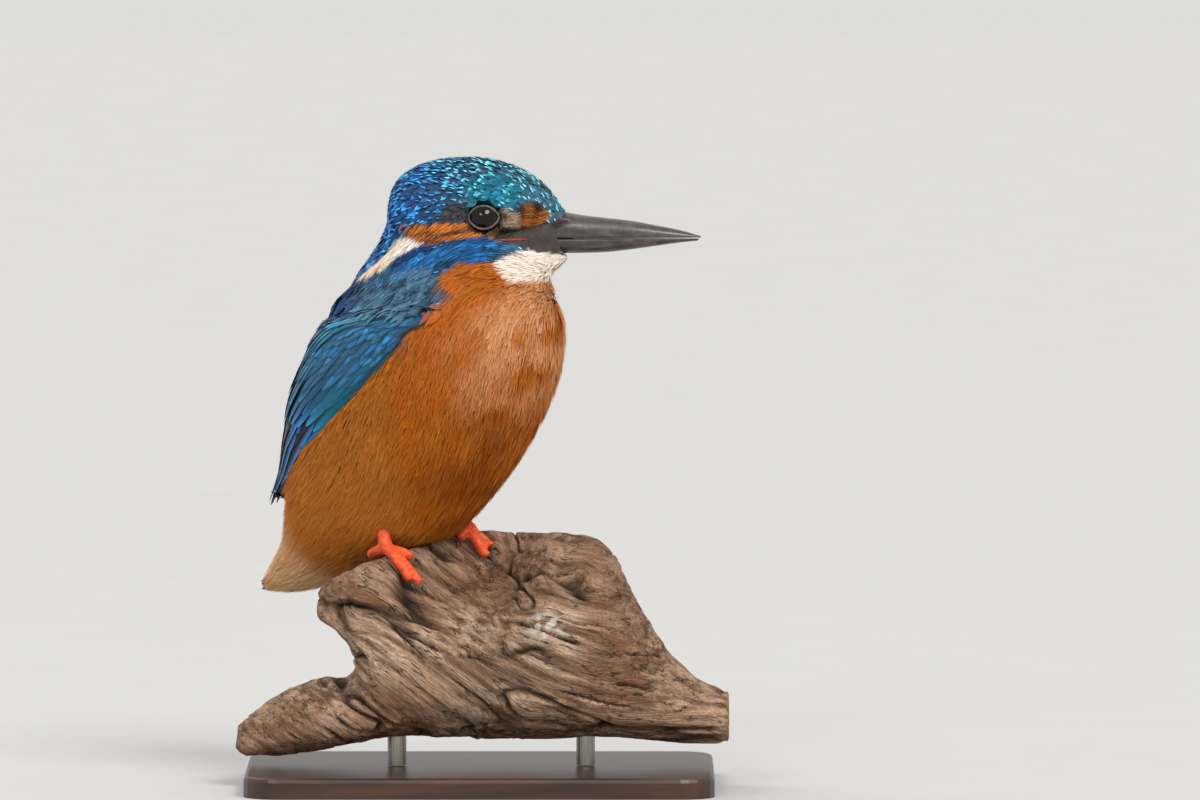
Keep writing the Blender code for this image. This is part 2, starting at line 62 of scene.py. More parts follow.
# The folded wing: forward, outward and up of its axis, where it looks, half breadth, half thickness
WING_STATIONS = np.array([
    (15.5, 24.5, 66.0, 76.0, 8.5, 2.4),
    (-4.8, 28.1, 60.0, 103.0, 20.0, 3.7),
    (-16.4, 26.0, 50.0, 116.0, 22.5, 4.0),
    (-27.6, 22.0, 39.0, 124.0, 19.5, 3.8),
    (-37.0, 16.7, 28.0, 132.0, 15.0, 3.0),
    (-43.4, 12.8, 19.0, 136.0, 11.0, 2.1),
    (-49.6, 10.6, 11.5, 134.0, 4.4, 1.3),
    (-51.2, 10.2, 9.0, 132.0, 1.6, 0.7),
])
WING_BEND = 31.0

# The bill: along, top, bottom, half width, in head numbers
BILL_STATIONS = np.array([
    (10.0, 0.8, -8.2, 2.8),
    (16.0, 1.9, -8.9, 3.8),
    (20.0, 2.1, -9.1, 4.5),
    (26.0, 0.9, -9.1, 4.0),
    (32.5, 0.2, -8.9, 3.5),
    (39.0, -0.5, -8.2, 3.1),
    (45.3, -1.7, -7.3, 2.6),
    (51.7, -2.9, -6.4, 1.9),
    (55.8, -4.1, -5.95, 1.0),
    (57.5, -4.75, -5.75, 0.4),
])
BILL_PARTING = -5.1
BILL_GAP = 0.3

# The line that the feathers follow, from the bill's root over the body to the tail's tip
SPINE = np.array([
    (20.0, -4.5, 148.0),
    (0.0, -4.5, 148.0),
    (-10.0, -4.0, 138.0),
    (-9.0, -2.0, 118.0),
    (-12.0, 0.0, 95.0),
    (-30.0, 15.0, 72.0),
    (-56.0, 36.0, 50.0),
])

# The back's outline from the tail's root up: height over the body's origin, and how far forward
BACK_HEIGHTS = [-14.0, -4.5, 4.0, 12.5, 21.0, 31.5, 43.0, 54.0, 64.0, 72.5]
BACK_PLACES = [-62.0, -54.8, -48.8, -46.8, -45.5, -42.8, -38.5, -32.0, -25.0, -18.0]

# Outlines of the markings, seen from the side: forward of the eye and above it
EAR = [(-21.2, -2.4), (-17.0, -1.3), (-4.8, -1.5), (-2.6, -4.0), (2.4, -5.4), (-7.4, -6.1), (-12.5, -7.4),
       (-15.6, -7.2), (-19.6, -5.3)]
NECK_PATCH = [(-32.0, -13.4), (-27.0, -8.8), (-22.6, -5.2), (-17.0, -5.0), (-15.4, -7.2), (-21.4, -9.9),
              (-26.0, -14.2), (-34.5, -18.4), (-39.0, -19.4), (-38.0, -17.0)]
MALAR = [(9.5, -8.0), (8.7, -6.6), (0.3, -5.5), (-4.8, -5.6), (-9.3, -7.2), (-13.8, -9.0), (-18.8, -10.3),
         (-22.8, -13.0), (-25.4, -15.6), (-13.8, -13.0), (-12.5, -11.7), (-7.4, -11.7), (-2.9, -12.4),
         (2.9, -12.2)]
SHOULDER = [(-13.8, -11.7), (-22.8, -12.6), (-30.0, -15.5), (-34.0, -21.0), (-31.0, -40.0), (-18.0, -34.0),
            (-14.5, -27.0), (-6.4, -22.0), (-10.6, -21.0), (-12.2, -15.5)]
THROAT = [(3.4, -14.2), (2.6, -12.4), (6.4, -10.6), (11.0, -8.6), (30.0, -8.0), (30.0, -18.4), (15.9, -17.6),
          (10.6, -17.4), (6.1, -18.2)]
LORES = [(8.9, -2.4), (8.6, 1.2), (10.0, 3.4), (14.5, 3.8), (17.6, 0.6), (16.6, -2.2)]
PALE_TUFT = [(4.4, -2.6), (3.6, 1.4), (6.4, 2.2), (9.2, 1.2), (9.0, -2.7)]
LORAL_LINE = [(3.6, -4.9), (4.0, -2.4), (17.0, -1.4), (17.0, -3.0)]
BARE_HORN = [(1.8, -5.6), (6.9, -4.2), (12.0, -2.9), (16.6, -1.6), (26.0, 0.6), (26.0, -9.4), (14.0, -9.4), (9.4, -7.8)]
TEAL_BROW = [(-3.5, 3.2), (-5.5, 9.0), (4.0, 12.0), (10.5, 8.0), (8.5, 2.2), (4.0, 2.6)]
DARK_BROW = [(-12.0, -1.2), (-9.5, 3.0), (-5.5, 5.0), (-1.0, 4.5), (4.5, 3.0), (6.0, -3.0), (5.5, -5.6),
             (1.0, -6.0), (-4.0, -4.4), (-6.0, -1.6)]


def paint(code):
    """A linear colour from six hexadecimal digits."""
    parts = np.array([int(code[k:k + 2], 16) for k in (0, 2, 4)]) / 255.0
    return np.where(parts <= 0.04045, parts / 12.92, ((parts + 0.055) / 1.055) ** 2.4)


PAINT = {name: paint(code) for name, code in {
    "crown": "22405a",
    "crown_front": "3a6478",
    "crown_dash": "74e0f2",
    "nape": "183c68",
    "nape_dash": "2f9cf0",
    "brow_teal": "0b7186",
    "brow_dark": "33343a",
    "under_eye": "54402a",
    "ear": "bd6c2c",
    "ear_dark": "5d3a22",
    "white": "f4e8da",
    "white_warm": "e6c19c",
    "malar": "15588f",
    "malar_bright": "2a84cc",
    "malar_dark": "173a5c",
    "malar_front": "3c6672",
    "shoulder": "4f7690",
    "shoulder_dark": "2c4860",
    "lores": "a9632a",
    "lores_dark": "3c2516",
    "tuft": "a8937c",
    "black": "15130f",
    "gape": "8e3526",
    "breast": "bd641c",
    "breast_painted_light": "dc9a68",
    "belly": "b65e08",
    "belly_deep": "9f4f06",
    "flank": "c47a28",
    "vent": "b56a1c",
    "undertail": "e3b98a",
    "back": "1fb6ea",
    "back_deep": "0b6fb8",
    "tail": "16304f",
    "covert": "2d6080",
    "covert_dark": "232c38",
    "covert_dash": "2a9df0",
    "teal": "0e6c8a",
    "teal_bright": "26a4d0",
    "flight": "241c1a",
    "flight_edge": "2a8fe8",
    "lilac": "8f93b0",
    "buff": "bfae98",
    "skin": "6e4f48",
    "horn": "2b2624",
    "horn_pale": "544d4a",
}.items()}


def unit(vectors):
    return vectors / np.maximum(np.linalg.norm(vectors, axis=-1, keepdims=True), 1e-9)


def smooth_step(low, high, value):
    t = np.clip((value - low) / (high - low), 0.0, 1.0)
    return t * t * (3.0 - 2.0 * t)


def mix(first, second, share):
    """first where share is 0, second where it is 1; either may be one colour for many points."""
    share = np.asarray(share)
    two_colours = np.shape(first) == (3,) and np.shape(second) == (3,)
    if share.ndim < max(np.ndim(first), np.ndim(second)) or (two_colours and share.ndim > 0):
        share = share[..., None]
    return first * (1.0 - share) + second * share


def lattice(cells, seed):
    """Repeatable random numbers from 0 to 1, one for each whole-number cell."""
    number = cells[..., 0] * 374761393 + cells[..., 1] * 668265263 + cells[..., 2] * 982451653 + seed * 1442695041
    number = (number ^ (number >> 13)) * 1274126177
    return ((number ^ (number >> 16)) & 0xFFFFFF) / float(0xFFFFFF)


def noise(points, size, seed=0):
    """Smooth noise from 0 to 1 with blobs about size across."""
    place = np.asarray(points) / size
    cell = np.floor(place).astype(np.int64)
    part = place - cell
    part = part * part * (3.0 - 2.0 * part)
    total = 0.0
    for corner in product((0, 1), repeat=3):
        corner = np.array(corner)
        weight = np.prod(np.where(corner == 1, part, 1.0 - part), axis=-1)
        total = total + weight * lattice(cell + corner, seed)
    return total


def body(a, b, c):
    """The place a forward, b to the right and c above the body's origin."""
    a, b, c = (np.asarray(value, float)[..., None] for value in (a, b, c))
    return BODY_ORIGIN + FORWARD * a + RIGHT * b + np.array([0.0, 0.0, 1.0]) * c


def head(u, w, v):
    """The place u forward, w to the left and v above the head's origin."""
    return HEAD_ORIGIN + np.stack(np.broadcast_arrays(u, w, v), axis=-1)


def make_mesh(name, points, faces, colours=None, maps=None):
    """An object from points and faces that all have as many corners; maps holds a UV pair for each point."""
    mesh = bpy.data.meshes.new(name)
    mesh.vertices.add(len(points))
    mesh.vertices.foreach_set("co", (points * MM).astype(np.float32).ravel())
    mesh.loops.add(faces.size)
    mesh.loops.foreach_set("vertex_index", faces.astype(np.int32).ravel())
    mesh.polygons.add(len(faces))
    mesh.polygons.foreach_set("loop_start", np.arange(0, faces.size, faces.shape[1], dtype=np.int32))
    mesh.update(calc_edges=True)
    mesh.polygons.foreach_set("use_smooth", np.ones(len(faces), bool))
    if colours is not None:
        store_colours(mesh, colours)
    for map_name, pairs in (maps or {}).items():
        layer = mesh.uv_layers.new(name=map_name)
        layer.data.foreach_set("uv", pairs[faces.ravel()].astype(np.float32).ravel())
    obj = bpy.data.objects.new(name, mesh)
    bpy.context.collection.objects.link(obj)
    return obj


def store_colours(mesh, colours):
    layer = mesh.color_attributes.new(name="Colour", type="FLOAT_COLOR", domain="POINT")
    full = np.ones((len(colours), 4), np.float32)
    full[:, :3] = np.clip(colours, 0.0, 1.0)
    layer.data.foreach_set("color", full.ravel())


def grid_faces(count, rows, columns):
    """Quads of count separate sheets, each of rows by columns points."""
    corner = np.arange((rows - 1) * columns).reshape(rows - 1, columns)[:, :-1].ravel()
    quads = np.stack([corner, corner + 1, corner + columns + 1, corner + columns], axis=1)
    return (quads[None] + (np.arange(count) * rows * columns)[:, None, None]).reshape(-1, 4)


def tube_mesh(rings, closed_path=False):
    """Points and quads of a tube through rings, an array of rings by corners by 3."""
    count, corners = rings.shape[:2]
    faces = []
    for k in range(count if closed_path else count - 1):
        for j in range(corners):
            after, beside = (k + 1) % count, (j + 1) % corners
            faces.append((k * corners + j, k * corners + beside, after * corners + beside, after * corners + j))
    return rings.reshape(-1, 3), np.array(faces)


def node_solid(names):
    """One bmesh of these CAD nodes, in metres, with the corners that share a place joined."""
    solid = bmesh.new()
    for name in names:
        solid.from_mesh(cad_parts[name].data)
    bmesh.ops.remove_doubles(solid, verts=solid.verts, dist=1e-6)
    bmesh.ops.recalc_face_normals(solid, faces=solid.faces)
    return solid


def remeshed(solid, voxel, rounds):
    """The outer surface of a bmesh as an even mesh: its points in mm and its quads."""
    mesh = bpy.data.meshes.new("work")
    solid.to_mesh(mesh)
    solid.free()
    obj = bpy.data.objects.new("work", mesh)
    bpy.context.collection.objects.link(obj)
    remesh = obj.modifiers.new("Remesh", "REMESH")
    remesh.mode = "VOXEL"
    remesh.voxel_size = voxel * MM
    relax = obj.modifiers.new("Relax", "SMOOTH")
    relax.factor = 0.5
    relax.iterations = rounds
    even = bpy.data.meshes.new_from_object(obj.evaluated_get(bpy.context.evaluated_depsgraph_get()))
    points = np.empty(len(even.vertices) * 3, np.float32)
    even.vertices.foreach_get("co", points)
    faces = np.empty(len(even.loops), np.int32)
    even.loops.foreach_get("vertex_index", faces)
    bpy.data.objects.remove(obj)
    bpy.data.meshes.remove(mesh)
    bpy.data.meshes.remove(even)
    return points.reshape(-1, 3).astype(float) / MM, faces.reshape(-1, 4)


def normals_of(points, quads):
    across = np.cross(points[quads[:, 2]] - points[quads[:, 0]], points[quads[:, 3]] - points[quads[:, 1]])
    total = np.zeros_like(points)
    for corner in range(4):
        np.add.at(total, quads[:, corner], across)
    return unit(total)


def relaxed(values, quads, rounds):
    """Values at the points, each taken towards the mean of its neighbours a few times."""
    ends = np.concatenate([quads[:, [k, (k + 1) % 4]] for k in range(4)])
    counts = np.bincount(ends[:, 0], minlength=len(values)) + np.bincount(ends[:, 1], minlength=len(values))
    for _ in range(rounds):
        total = np.zeros_like(values)
        np.add.at(total, ends[:, 0], values[ends[:, 1]])
        np.add.at(total, ends[:, 1], values[ends[:, 0]])
        share = counts if values.ndim == 1 else counts[:, None]
        values = 0.5 * values + 0.5 * total / np.maximum(share, 1)
    return values


# ---------------------------------------------------------------- where a point is on the bird


def near_side(points):
    """Each point's place on the right side: forward, up as the side view shows it, angle from the front, turn."""
    level = points[:, 2]
    turn = np.radians(np.interp(level, TURN_LEVELS, TURN_DEGREES))
    share = smooth_step(TURN_LEVELS[0], 142.0, level)[:, None]
    centre = mix(BODY_ORIGIN[:2], HEAD_ORIGIN[:2], share)
    ahead = np.stack([np.cos(turn), -np.sin(turn)], axis=1)
    aside = np.stack([-np.sin(turn), -np.cos(turn)], axis=1)
    offset = points[:, :2] - centre
    f = (offset * ahead).sum(1)
    r = np.abs((offset * aside).sum(1))
    mirrored = centre + ahead * f[:, None] + aside * r[:, None]
    u = mirrored[:, 0] - HEAD_ORIGIN[0]
    v = level + 0.061 * mirrored[:, 1] - 150.8
    return u, v, np.degrees(np.arctan2(r, f))


def inside(outline, u, v, softness):
    """How far points are inside a closed outline: 0 outside, 1 inside, over the width softness."""
    outline = np.array(outline)
    after = np.roll(outline, -1, axis=0)
    nearest = np.full(len(u), 1e9)
    crossings = np.zeros(len(u), int)
    for (u0, v0), (u1, v1) in zip(outline, after):
        du, dv = u1 - u0, v1 - v0
        t = np.clip(((u - u0) * du + (v - v0) * dv) / (du * du + dv * dv + 1e-9), 0.0, 1.0)
        nearest = np.minimum(nearest, np.hypot(u - u0 - t * du, v - v0 - t * dv))
        spans = (v0 > v) != (v1 > v)
        crossings += spans & (u < u0 + (v - v0) * du / (dv if abs(dv) > 1e-9 else 1e-9))
    signed = np.where(crossings % 2 == 1, nearest, -nearest)
    return smooth_step(-softness, softness, signed)


def body_numbers(points):
    offset = points - BODY_ORIGIN
    return offset @ FORWARD, offset @ RIGHT, offset[:, 2]


def regions(points, ragged=0.5):
    """Shares from 0 to 1 of each marking at these points, in the order in which they cover each other."""
    u, v, angle = near_side(points)
    u = u + ragged * 2.0 * (noise(points, 1.1, 3) - 0.5)
    v = v + ragged * 2.0 * (noise(points, 1.3, 4) - 0.5)
    a, b, c = body_numbers(points)
    level = points[:, 2]
    wing_rear = smooth_step(9.0, 11.5, np.abs(b) - 0.3 * np.clip(c - 12.0, 0.0, 40.0)) * smooth_step(60.0, 52.0, c)
    on_head = smooth_step(134.0, 138.0, level)
    blue_above = smooth_step(-0.7, 0.7, v - np.interp(u, [-20.0, -13.0], [-18.0, -12.6]))
    behind = a - np.interp(c, BACK_HEIGHTS, BACK_PLACES)
    near_back = smooth_step(7.0, 4.0, behind + 2.5 * smooth_step(20.0, -4.0, c))
    rear = smooth_step(92.0, 102.0, angle) * smooth_step(46.0, 56.0, c)
    shares = {
        "blue": np.maximum(blue_above, np.maximum(rear, near_back)),
        "back": smooth_step(150.0, 160.0, angle) * smooth_step(136.0, 128.0, level) * smooth_step(46.0, 56.0, c),
        "shoulder": inside(SHOULDER, u, v, 0.9) * smooth_step(60.0, 70.0, angle),
        "throat": inside(THROAT, u, v, 0.6),
        "malar": inside(MALAR, u, v, 0.4),
        "neck_patch": inside(NECK_PATCH, u, v, 0.4) * smooth_step(158.0, 150.0, angle),
        "dark_brow": inside(DARK_BROW, u, v, 1.0) * on_head,
        "teal_brow": inside(TEAL_BROW, u, v, 1.2) * on_head,
        "ear": inside(EAR, u, v, 0.35) * on_head,
        "loral_line": inside(LORAL_LINE, u, v, 0.3) * on_head,
        "lores": inside(LORES, u, v, 0.8) * on_head,
        "pale_tuft": inside(PALE_TUFT, u, v, 0.8) * on_head,
        "horn": inside(BARE_HORN, u, v, 0.15) * on_head,
        "undertail": smooth_step(-30.0, -46.0, a + 0.6 * c) * (1.0 - near_back),
        "rump": near_back * smooth_step(62.0, 54.0, c) * (1.0 - wing_rear),
        "wing_rear": near_back * wing_rear,
    }
    return shares, u, v, angle


def markings(points, ragged=0.5):
    """The colour of the plumage at these points."""
    shares, u, v, angle = regions(points, ragged)
    a, b, c = body_numbers(points)
    soft = noise(points, 9.0, 11)
    fine = noise(points, 2.2, 12)
    belly = mix(PAINT["belly"], PAINT["belly_deep"], smooth_step(0.35, 0.8, soft))
    # The breast turns paler in patches where it faces forward: painted light where the key light falls on its front.
    front = smooth_step(52.0, 22.0, angle)
    breast = mix(PAINT["breast"], PAINT["breast_painted_light"], front * smooth_step(0.2, 0.65, noise(points, 5.0, 13)))
    height = smooth_step(36.0, 66.0, c + 0.35 * a)
    colour = mix(belly, breast, height)
    flank = smooth_step(62.0, 92.0, angle) * smooth_step(64.0, 40.0, c)
    colour = mix(colour, PAINT["flank"], 0.65 * flank)
    colour = mix(colour, PAINT["vent"], smooth_step(12.0, -4.0, c))
    nape = smooth_step(-8.0, -18.0, u)
    crown = mix(PAINT["crown_front"], PAINT["crown"], smooth_step(14.0, 2.0, u))
    crown = mix(crown, PAINT["nape"], nape)
    colour = mix(colour, crown, shares["blue"])
    layers = {
        "back": mix(PAINT["back_deep"], PAINT["back"], fine),
        "rump": mix(PAINT["back_deep"], PAINT["back"], fine),
        "wing_rear": mix(PAINT["flight"], PAINT["tail"], fine),
        "shoulder": mix(PAINT["shoulder_dark"], PAINT["shoulder"], smooth_step(0.3, 0.6, fine)),
        "undertail": mix(PAINT["undertail"], PAINT["vent"], 0.12 * fine),
        # The throat turns half way to warm buff towards its lower part: painted shade under the chin.
        "throat": mix(PAINT["white"], PAINT["white_warm"], smooth_step(-13.0, -19.0, v) * 0.5),
        "malar": mix(mix(PAINT["malar_dark"], PAINT["malar"], smooth_step(0.2, 0.5, fine)),
                     PAINT["malar_front"], smooth_step(0.0, 8.0, u)),
        "neck_patch": mix(PAINT["white"], PAINT["white_warm"], smooth_step(-0.6 * u - 24.5, -0.6 * u - 27.5, v) * 0.6),
        "dark_brow": mix(PAINT["brow_dark"], PAINT["under_eye"], smooth_step(-1.0, -3.6, v)),
        "teal_brow": mix(PAINT["brow_teal"], PAINT["crown"], 0.5 * fine),
        "ear": mix(PAINT["ear"], PAINT["ear_dark"], smooth_step(0.5, 0.72, noise(points * (0.22, 1.0, 1.9), 1.0, 14))),
        "loral_line": PAINT["black"] * np.ones_like(points),
        "lores": mix(PAINT["lores"], PAINT["lores_dark"], smooth_step(0.4, 0.8, fine)),
        "pale_tuft": mix(PAINT["tuft"], PAINT["lores_dark"], smooth_step(0.5, 0.9, fine)),
        "horn": mix(PAINT["horn"], PAINT["horn_pale"], fine),
    }
    for name, layer in layers.items():
        colour = mix(colour, layer, shares[name])
    return colour


# ---------------------------------------------------------------- the skin


def coat_depth(points):
    """How deep the feathers are over the skin at these points."""
    u, v, _ = near_side(points)
    level = points[:, 2]
    face = smooth_step(2.0, 14.0, u) * smooth_step(134.0, 139.0, level)
    depth = mix(np.full(len(points), 1.7), np.full(len(points), 1.1), smooth_step(128.0, 142.0, level))
    return mix(depth, np.full(len(points), 0.6), face)


SKIN_VOXEL = 0.7
SKIN_SWELL = 0.25


class Skin:
    """The bird's one skin: points and normals in mm, quads, coat depth, and a tree for finding places on it."""

    def __init__(self):
        solid = node_solid(FLESH)
        solid.normal_update()
        for vert in solid.verts:
            vert.co += vert.normal * SKIN_SWELL * MM
        self.fill_bill_bed(solid)
        self.fill_leg_beds(solid)
        self.points, self.quads = remeshed(solid, SKIN_VOXEL, 4)
        self.normals = normals_of(self.points, self.quads)
        self.depth = self.sunk_by()
        self.points = self.points - self.normals * (self.depth + SKIN_SWELL)[:, None]
        self.sink_sockets()
        self.narrow_at_bill()
        self.points = relaxed(self.points, self.quads, 2)
        self.normals = normals_of(self.points, self.quads)
        self.triangles = np.concatenate([self.quads[:, [0, 1, 2]], self.quads[:, [0, 2, 3]]])
        self.tree = BVHTree.FromPolygons(self.points.tolist(), self.triangles.tolist())

    def fill_bill_bed(self, solid):
        """Closes the hollow that the bill's root stands in, just inside the bill."""
        made = bmesh.ops.create_uvsphere(solid, u_segments=24, v_segments=12, radius=MM)["verts"]
        bmesh.ops.scale(solid, verts=made, vec=(11.0, 3.2, 4.2))
        bmesh.ops.translate(solid, verts=made, vec=Vector(head(15.0, 0.0, -3.8)) * MM)

    def fill_leg_beds(self, solid):
        """Closes the hollows round the tops of the legs, just inside the belly."""
        trunk = BVHTree.FromBMesh(node_solid(["trunk"]))
        for name in ("leg_left", "leg_right"):
            places = np.array([vert.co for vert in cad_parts[name].data.vertices]) / MM
            top = places[places[:, 2] > places[:, 2].max() - 1.5].mean(0)
            below = places[np.abs(places[:, 2] - places[:, 2].max() + 7.0) < 1.0].mean(0)
            down = unit(below - top)
            reaches = []
            for turn in np.linspace(0.0, 2 * pi, 8, endpoint=False):
                start = top + FORWARD * 3.6 * cos(turn) + RIGHT * 3.6 * sin(turn)
                _, _, _, distance = trunk.ray_cast(Vector(start) * MM, Vector(down))
                reaches.append(4.0 if distance is None else distance / MM)
            made = bmesh.ops.create_icosphere(solid, subdivisions=3, radius=3.1 * MM)["verts"]
            bmesh.ops.translate(solid, verts=made, vec=Vector(top + down * (np.median(reaches) - 2.6)) * MM)

    def sunk_by(self):
        """The coat's depth at each point, less where the body is thin."""
        tree = BVHTree.FromPolygons(self.points.tolist(), self.quads.tolist())
        thick = np.full(len(self.points), 99.0)
        for k, (point, normal) in enumerate(zip(self.points.tolist(), self.normals.tolist())):
            inward = -Vector(normal)
            _, _, _, distance = tree.ray_cast(Vector(point) + inward * 0.05, inward)
            if distance is not None:
                thick[k] = distance
        depth = np.minimum(coat_depth(self.points), 0.28 * thick)
        wing = wing_share(self.points, self.normals)
        depth = np.minimum(depth, mix(np.full(len(depth), 9.0), np.full(len(depth), 0.9), wing))
        return relaxed(depth, self.quads, 6)

    def sink_sockets(self):
        """Takes the skin behind each eye inwards, so that only the eye shows between its lids."""
        across, level = self.points[:, 0] - HEAD_ORIGIN[0], self.points[:, 2] - HEAD_ORIGIN[2] - EYE_RAISE
        side = self.points[:, 1] - HEAD_ORIGIN[1]
        ratio = np.hypot(across / (EYE_RADII[0] * 0.96), level / (EYE_RADII[2] * 0.96))
        inner = np.sign(side) * 8.2
        share = smooth_step(1.08, 0.92, ratio) * (np.abs(side) > 5.0)
        self.points[:, 1] = mix(side, inner, share) + HEAD_ORIGIN[1]

    def narrow_at_bill(self):
        """Draws the front of the face in, so that the bill grows out of it with no step."""
        u, w, v = (self.points - HEAD_ORIGIN).T
        half = np.interp(u, BILL_STATIONS[:, 0], BILL_STATIONS[:, 3])
        most = half * (0.85 + 1.9 * (1.0 - smooth_step(12.5, 20.5, u)))
        pull = np.where((u > 10.0) & (np.abs(w) > most), most / np.maximum(np.abs(w), 1e-6), 1.0)
        level = smooth_step(5.0, 1.0, v) * smooth_step(-10.5, -8.5, v)
        self.points[:, 1] = HEAD_ORIGIN[1] + w * mix(np.ones(len(w)), pull, level)

    def nearest(self, points):
        """Places on the skin nearest to these points, with the smooth normals and the coat's depth there."""
        found = [self.tree.find_nearest(Vector(point)) for point in points.tolist()]
        places = np.array([hit[0] for hit in found])
        corners = self.triangles[[hit[2] for hit in found]]
        first, second, third = (self.points[corners[:, k]] for k in range(3))
        e0, e1, e2 = second - first, third - first, places - first
        d00, d01, d11 = (e0 * e0).sum(1), (e0 * e1).sum(1), (e1 * e1).sum(1)
        d20, d21 = (e2 * e0).sum(1), (e2 * e1).sum(1)
        scale = np.maximum(d00 * d11 - d01 * d01, 1e-12)
        q = (d11 * d20 - d01 * d21) / scale
        r = (d00 * d21 - d01 * d20) / scale
        weights = np.stack([1.0 - q - r, q, r], axis=1)
        normals = unit((self.normals[corners] * weights[..., None]).sum(1))
        return places, normals, (self.depth[corners] * weights).sum(1)

    def scattered(self, spacing, wanted, seed):
        """Roots about spacing apart where wanted(points, normals) is true, with their normals."""
        chance = np.random.default_rng(seed)
        corners = self.points[self.triangles]
        area = np.linalg.norm(np.cross(corners[:, 1] - corners[:, 0], corners[:, 2] - corners[:, 0]), axis=1) / 2
        count = int(area.sum() / spacing ** 2 * 5)
        pick = chance.choice(len(area), count, p=area / area.sum())
        p, q = chance.random(count), chance.random(count)
        fold = p + q > 1
        p[fold], q[fold] = 1 - p[fold], 1 - q[fold]
        c = corners[pick]
        points = c[:, 0] + (c[:, 1] - c[:, 0]) * p[:, None] + (c[:, 2] - c[:, 0]) * q[:, None]
        normals = unit(self.normals[self.triangles[pick]].mean(1))
        keep = wanted(points, normals)
        points, normals = points[keep], normals[keep]
        cells = np.floor(points / spacing).astype(np.int64)
        _, first = np.unique(cells, axis=0, return_index=True)
        first = thinned(points, np.sort(first), spacing * 0.62)
        return points[first], normals[first]


def thinned(points, order, least):
    """The members of order whose points keep at least this distance from those already kept."""
    kept, cells = [], {}
    for index in order.tolist():
        point = points[index]
        cell = tuple(np.floor(point / least).astype(int).tolist())
        close = False
        for step in product((-1, 0, 1), repeat=3):
            for other in cells.get((cell[0] + step[0], cell[1] + step[1], cell[2] + step[2]), ()):
                gap = points[other] - point
                close = close or float(gap @ gap) < least * least
        if not close:
            cells.setdefault(cell, []).append(index)
            kept.append(index)
    return np.array(kept)


def wing_row(c):
    """The wing's stations, read at the height c: forward, outward, look in radians, half breadth, half thickness."""
    columns = WING_STATIONS[::-1]
    read = [np.interp(c, columns[:, 2], columns[:, k]) for k in (0, 1, 3, 4, 5)]
    return read[0], read[1], np.radians(read[2]), read[3], read[4]


def wing_place(side, c, s):
    """The place at height c and share s (-1 at the flank's edge, 1 at the back's) on the outside of a wing."""
    a, b, look, breadth, thickness = wing_row(c)
    angle = look + breadth * s / WING_BEND
    reach = WING_BEND + thickness * np.sqrt(np.clip(1.0 - s * s, 0.0, 1.0))
    hub_a, hub_b = a - WING_BEND * np.cos(look), b - WING_BEND * np.sin(look)
    return body(hub_a + reach * np.cos(angle), side * (hub_b + reach * np.sin(angle)), c)


def wing_share(points, normals):
    """1 on the outside of the folded wings, 0 elsewhere."""
    a, b, c = body_numbers(points)
    row_a, row_b, look, breadth, _ = wing_row(c)
    off_a = a - row_a + WING_BEND * np.cos(look)
    off_b = np.abs(b) - row_b + WING_BEND * np.sin(look)
    s = (np.arctan2(off_b, off_a) - look) * WING_BEND / breadth
    out = np.hypot(off_a, off_b) - WING_BEND
    margin = 1.6 / breadth
    on = smooth_step(1.0 + margin, 1.0, np.abs(s)) * smooth_step(-1.4, -0.6, out)
    return on * smooth_step(5.0, 6.5, c) * smooth_step(67.5, 64.0, c)


# ---------------------------------------------------------------- feathers


def flow(points):
    """The way feathers point: along the spine's line, towards the tail."""
    total = np.zeros_like(points)
    for start, end in zip(SPINE[:-1], SPINE[1:]):
        along = end - start
        t = np.clip((points - start) @ along / (along @ along), 0.0, 1.0)
        gap = np.linalg.norm(points - start - t[:, None] * along, axis=1)
        total += along / np.linalg.norm(along) / (gap[:, None] ** 2 + 9.0) ** 2
    return unit(total)


def laid(directions, normals):
    """Directions turned down into the surface."""
    return unit(directions - (directions * normals).sum(1, keepdims=True) * normals)


def turned(directions, normals, angles):
    return directions * np.cos(angles)[:, None] + np.cross(normals, directions) * np.sin(angles)[:, None]


class Paths:
    """Feather midlines that run over the skin: places, normals and directions, each feathers by rows by 3."""

    def __init__(self, skin, roots, directions, lengths, rows):
        place, normal, depth = skin.nearest(roots)
        heading = laid(directions, normal)
        places, normals, headings = [place], [normal], [heading]
        for _ in range(rows - 1):
            place, normal, _ = skin.nearest(place + heading * (lengths / (rows - 1))[:, None])
            heading = laid(heading, normal)
            places.append(place)
            normals.append(normal)
            headings.append(heading)
        self.places = np.stack(places, 1)
        self.normals = np.stack(normals, 1)
        self.headings = np.stack(headings, 1)
        self.lengths = lengths
        self.depth = depth


LEAF = {"rows": 5, "columns": 3, "shape": [0.55, 0.95, 1.0, 0.74, 0.12]}
STRAND = {"rows": 4, "columns": 2, "shape": [0.8, 1.0, 0.7, 0.1]}
VANE = {"rows": 10, "columns": 7, "shape": [0.45, 0.75, 0.93, 1.0, 1.0, 0.99, 0.95, 0.84, 0.62, 0.16]}
POINTED = {"rows": 10, "columns": 7, "shape": [0.6, 0.85, 0.97, 1.0, 0.97, 0.9, 0.78, 0.6, 0.38, 0.08]}


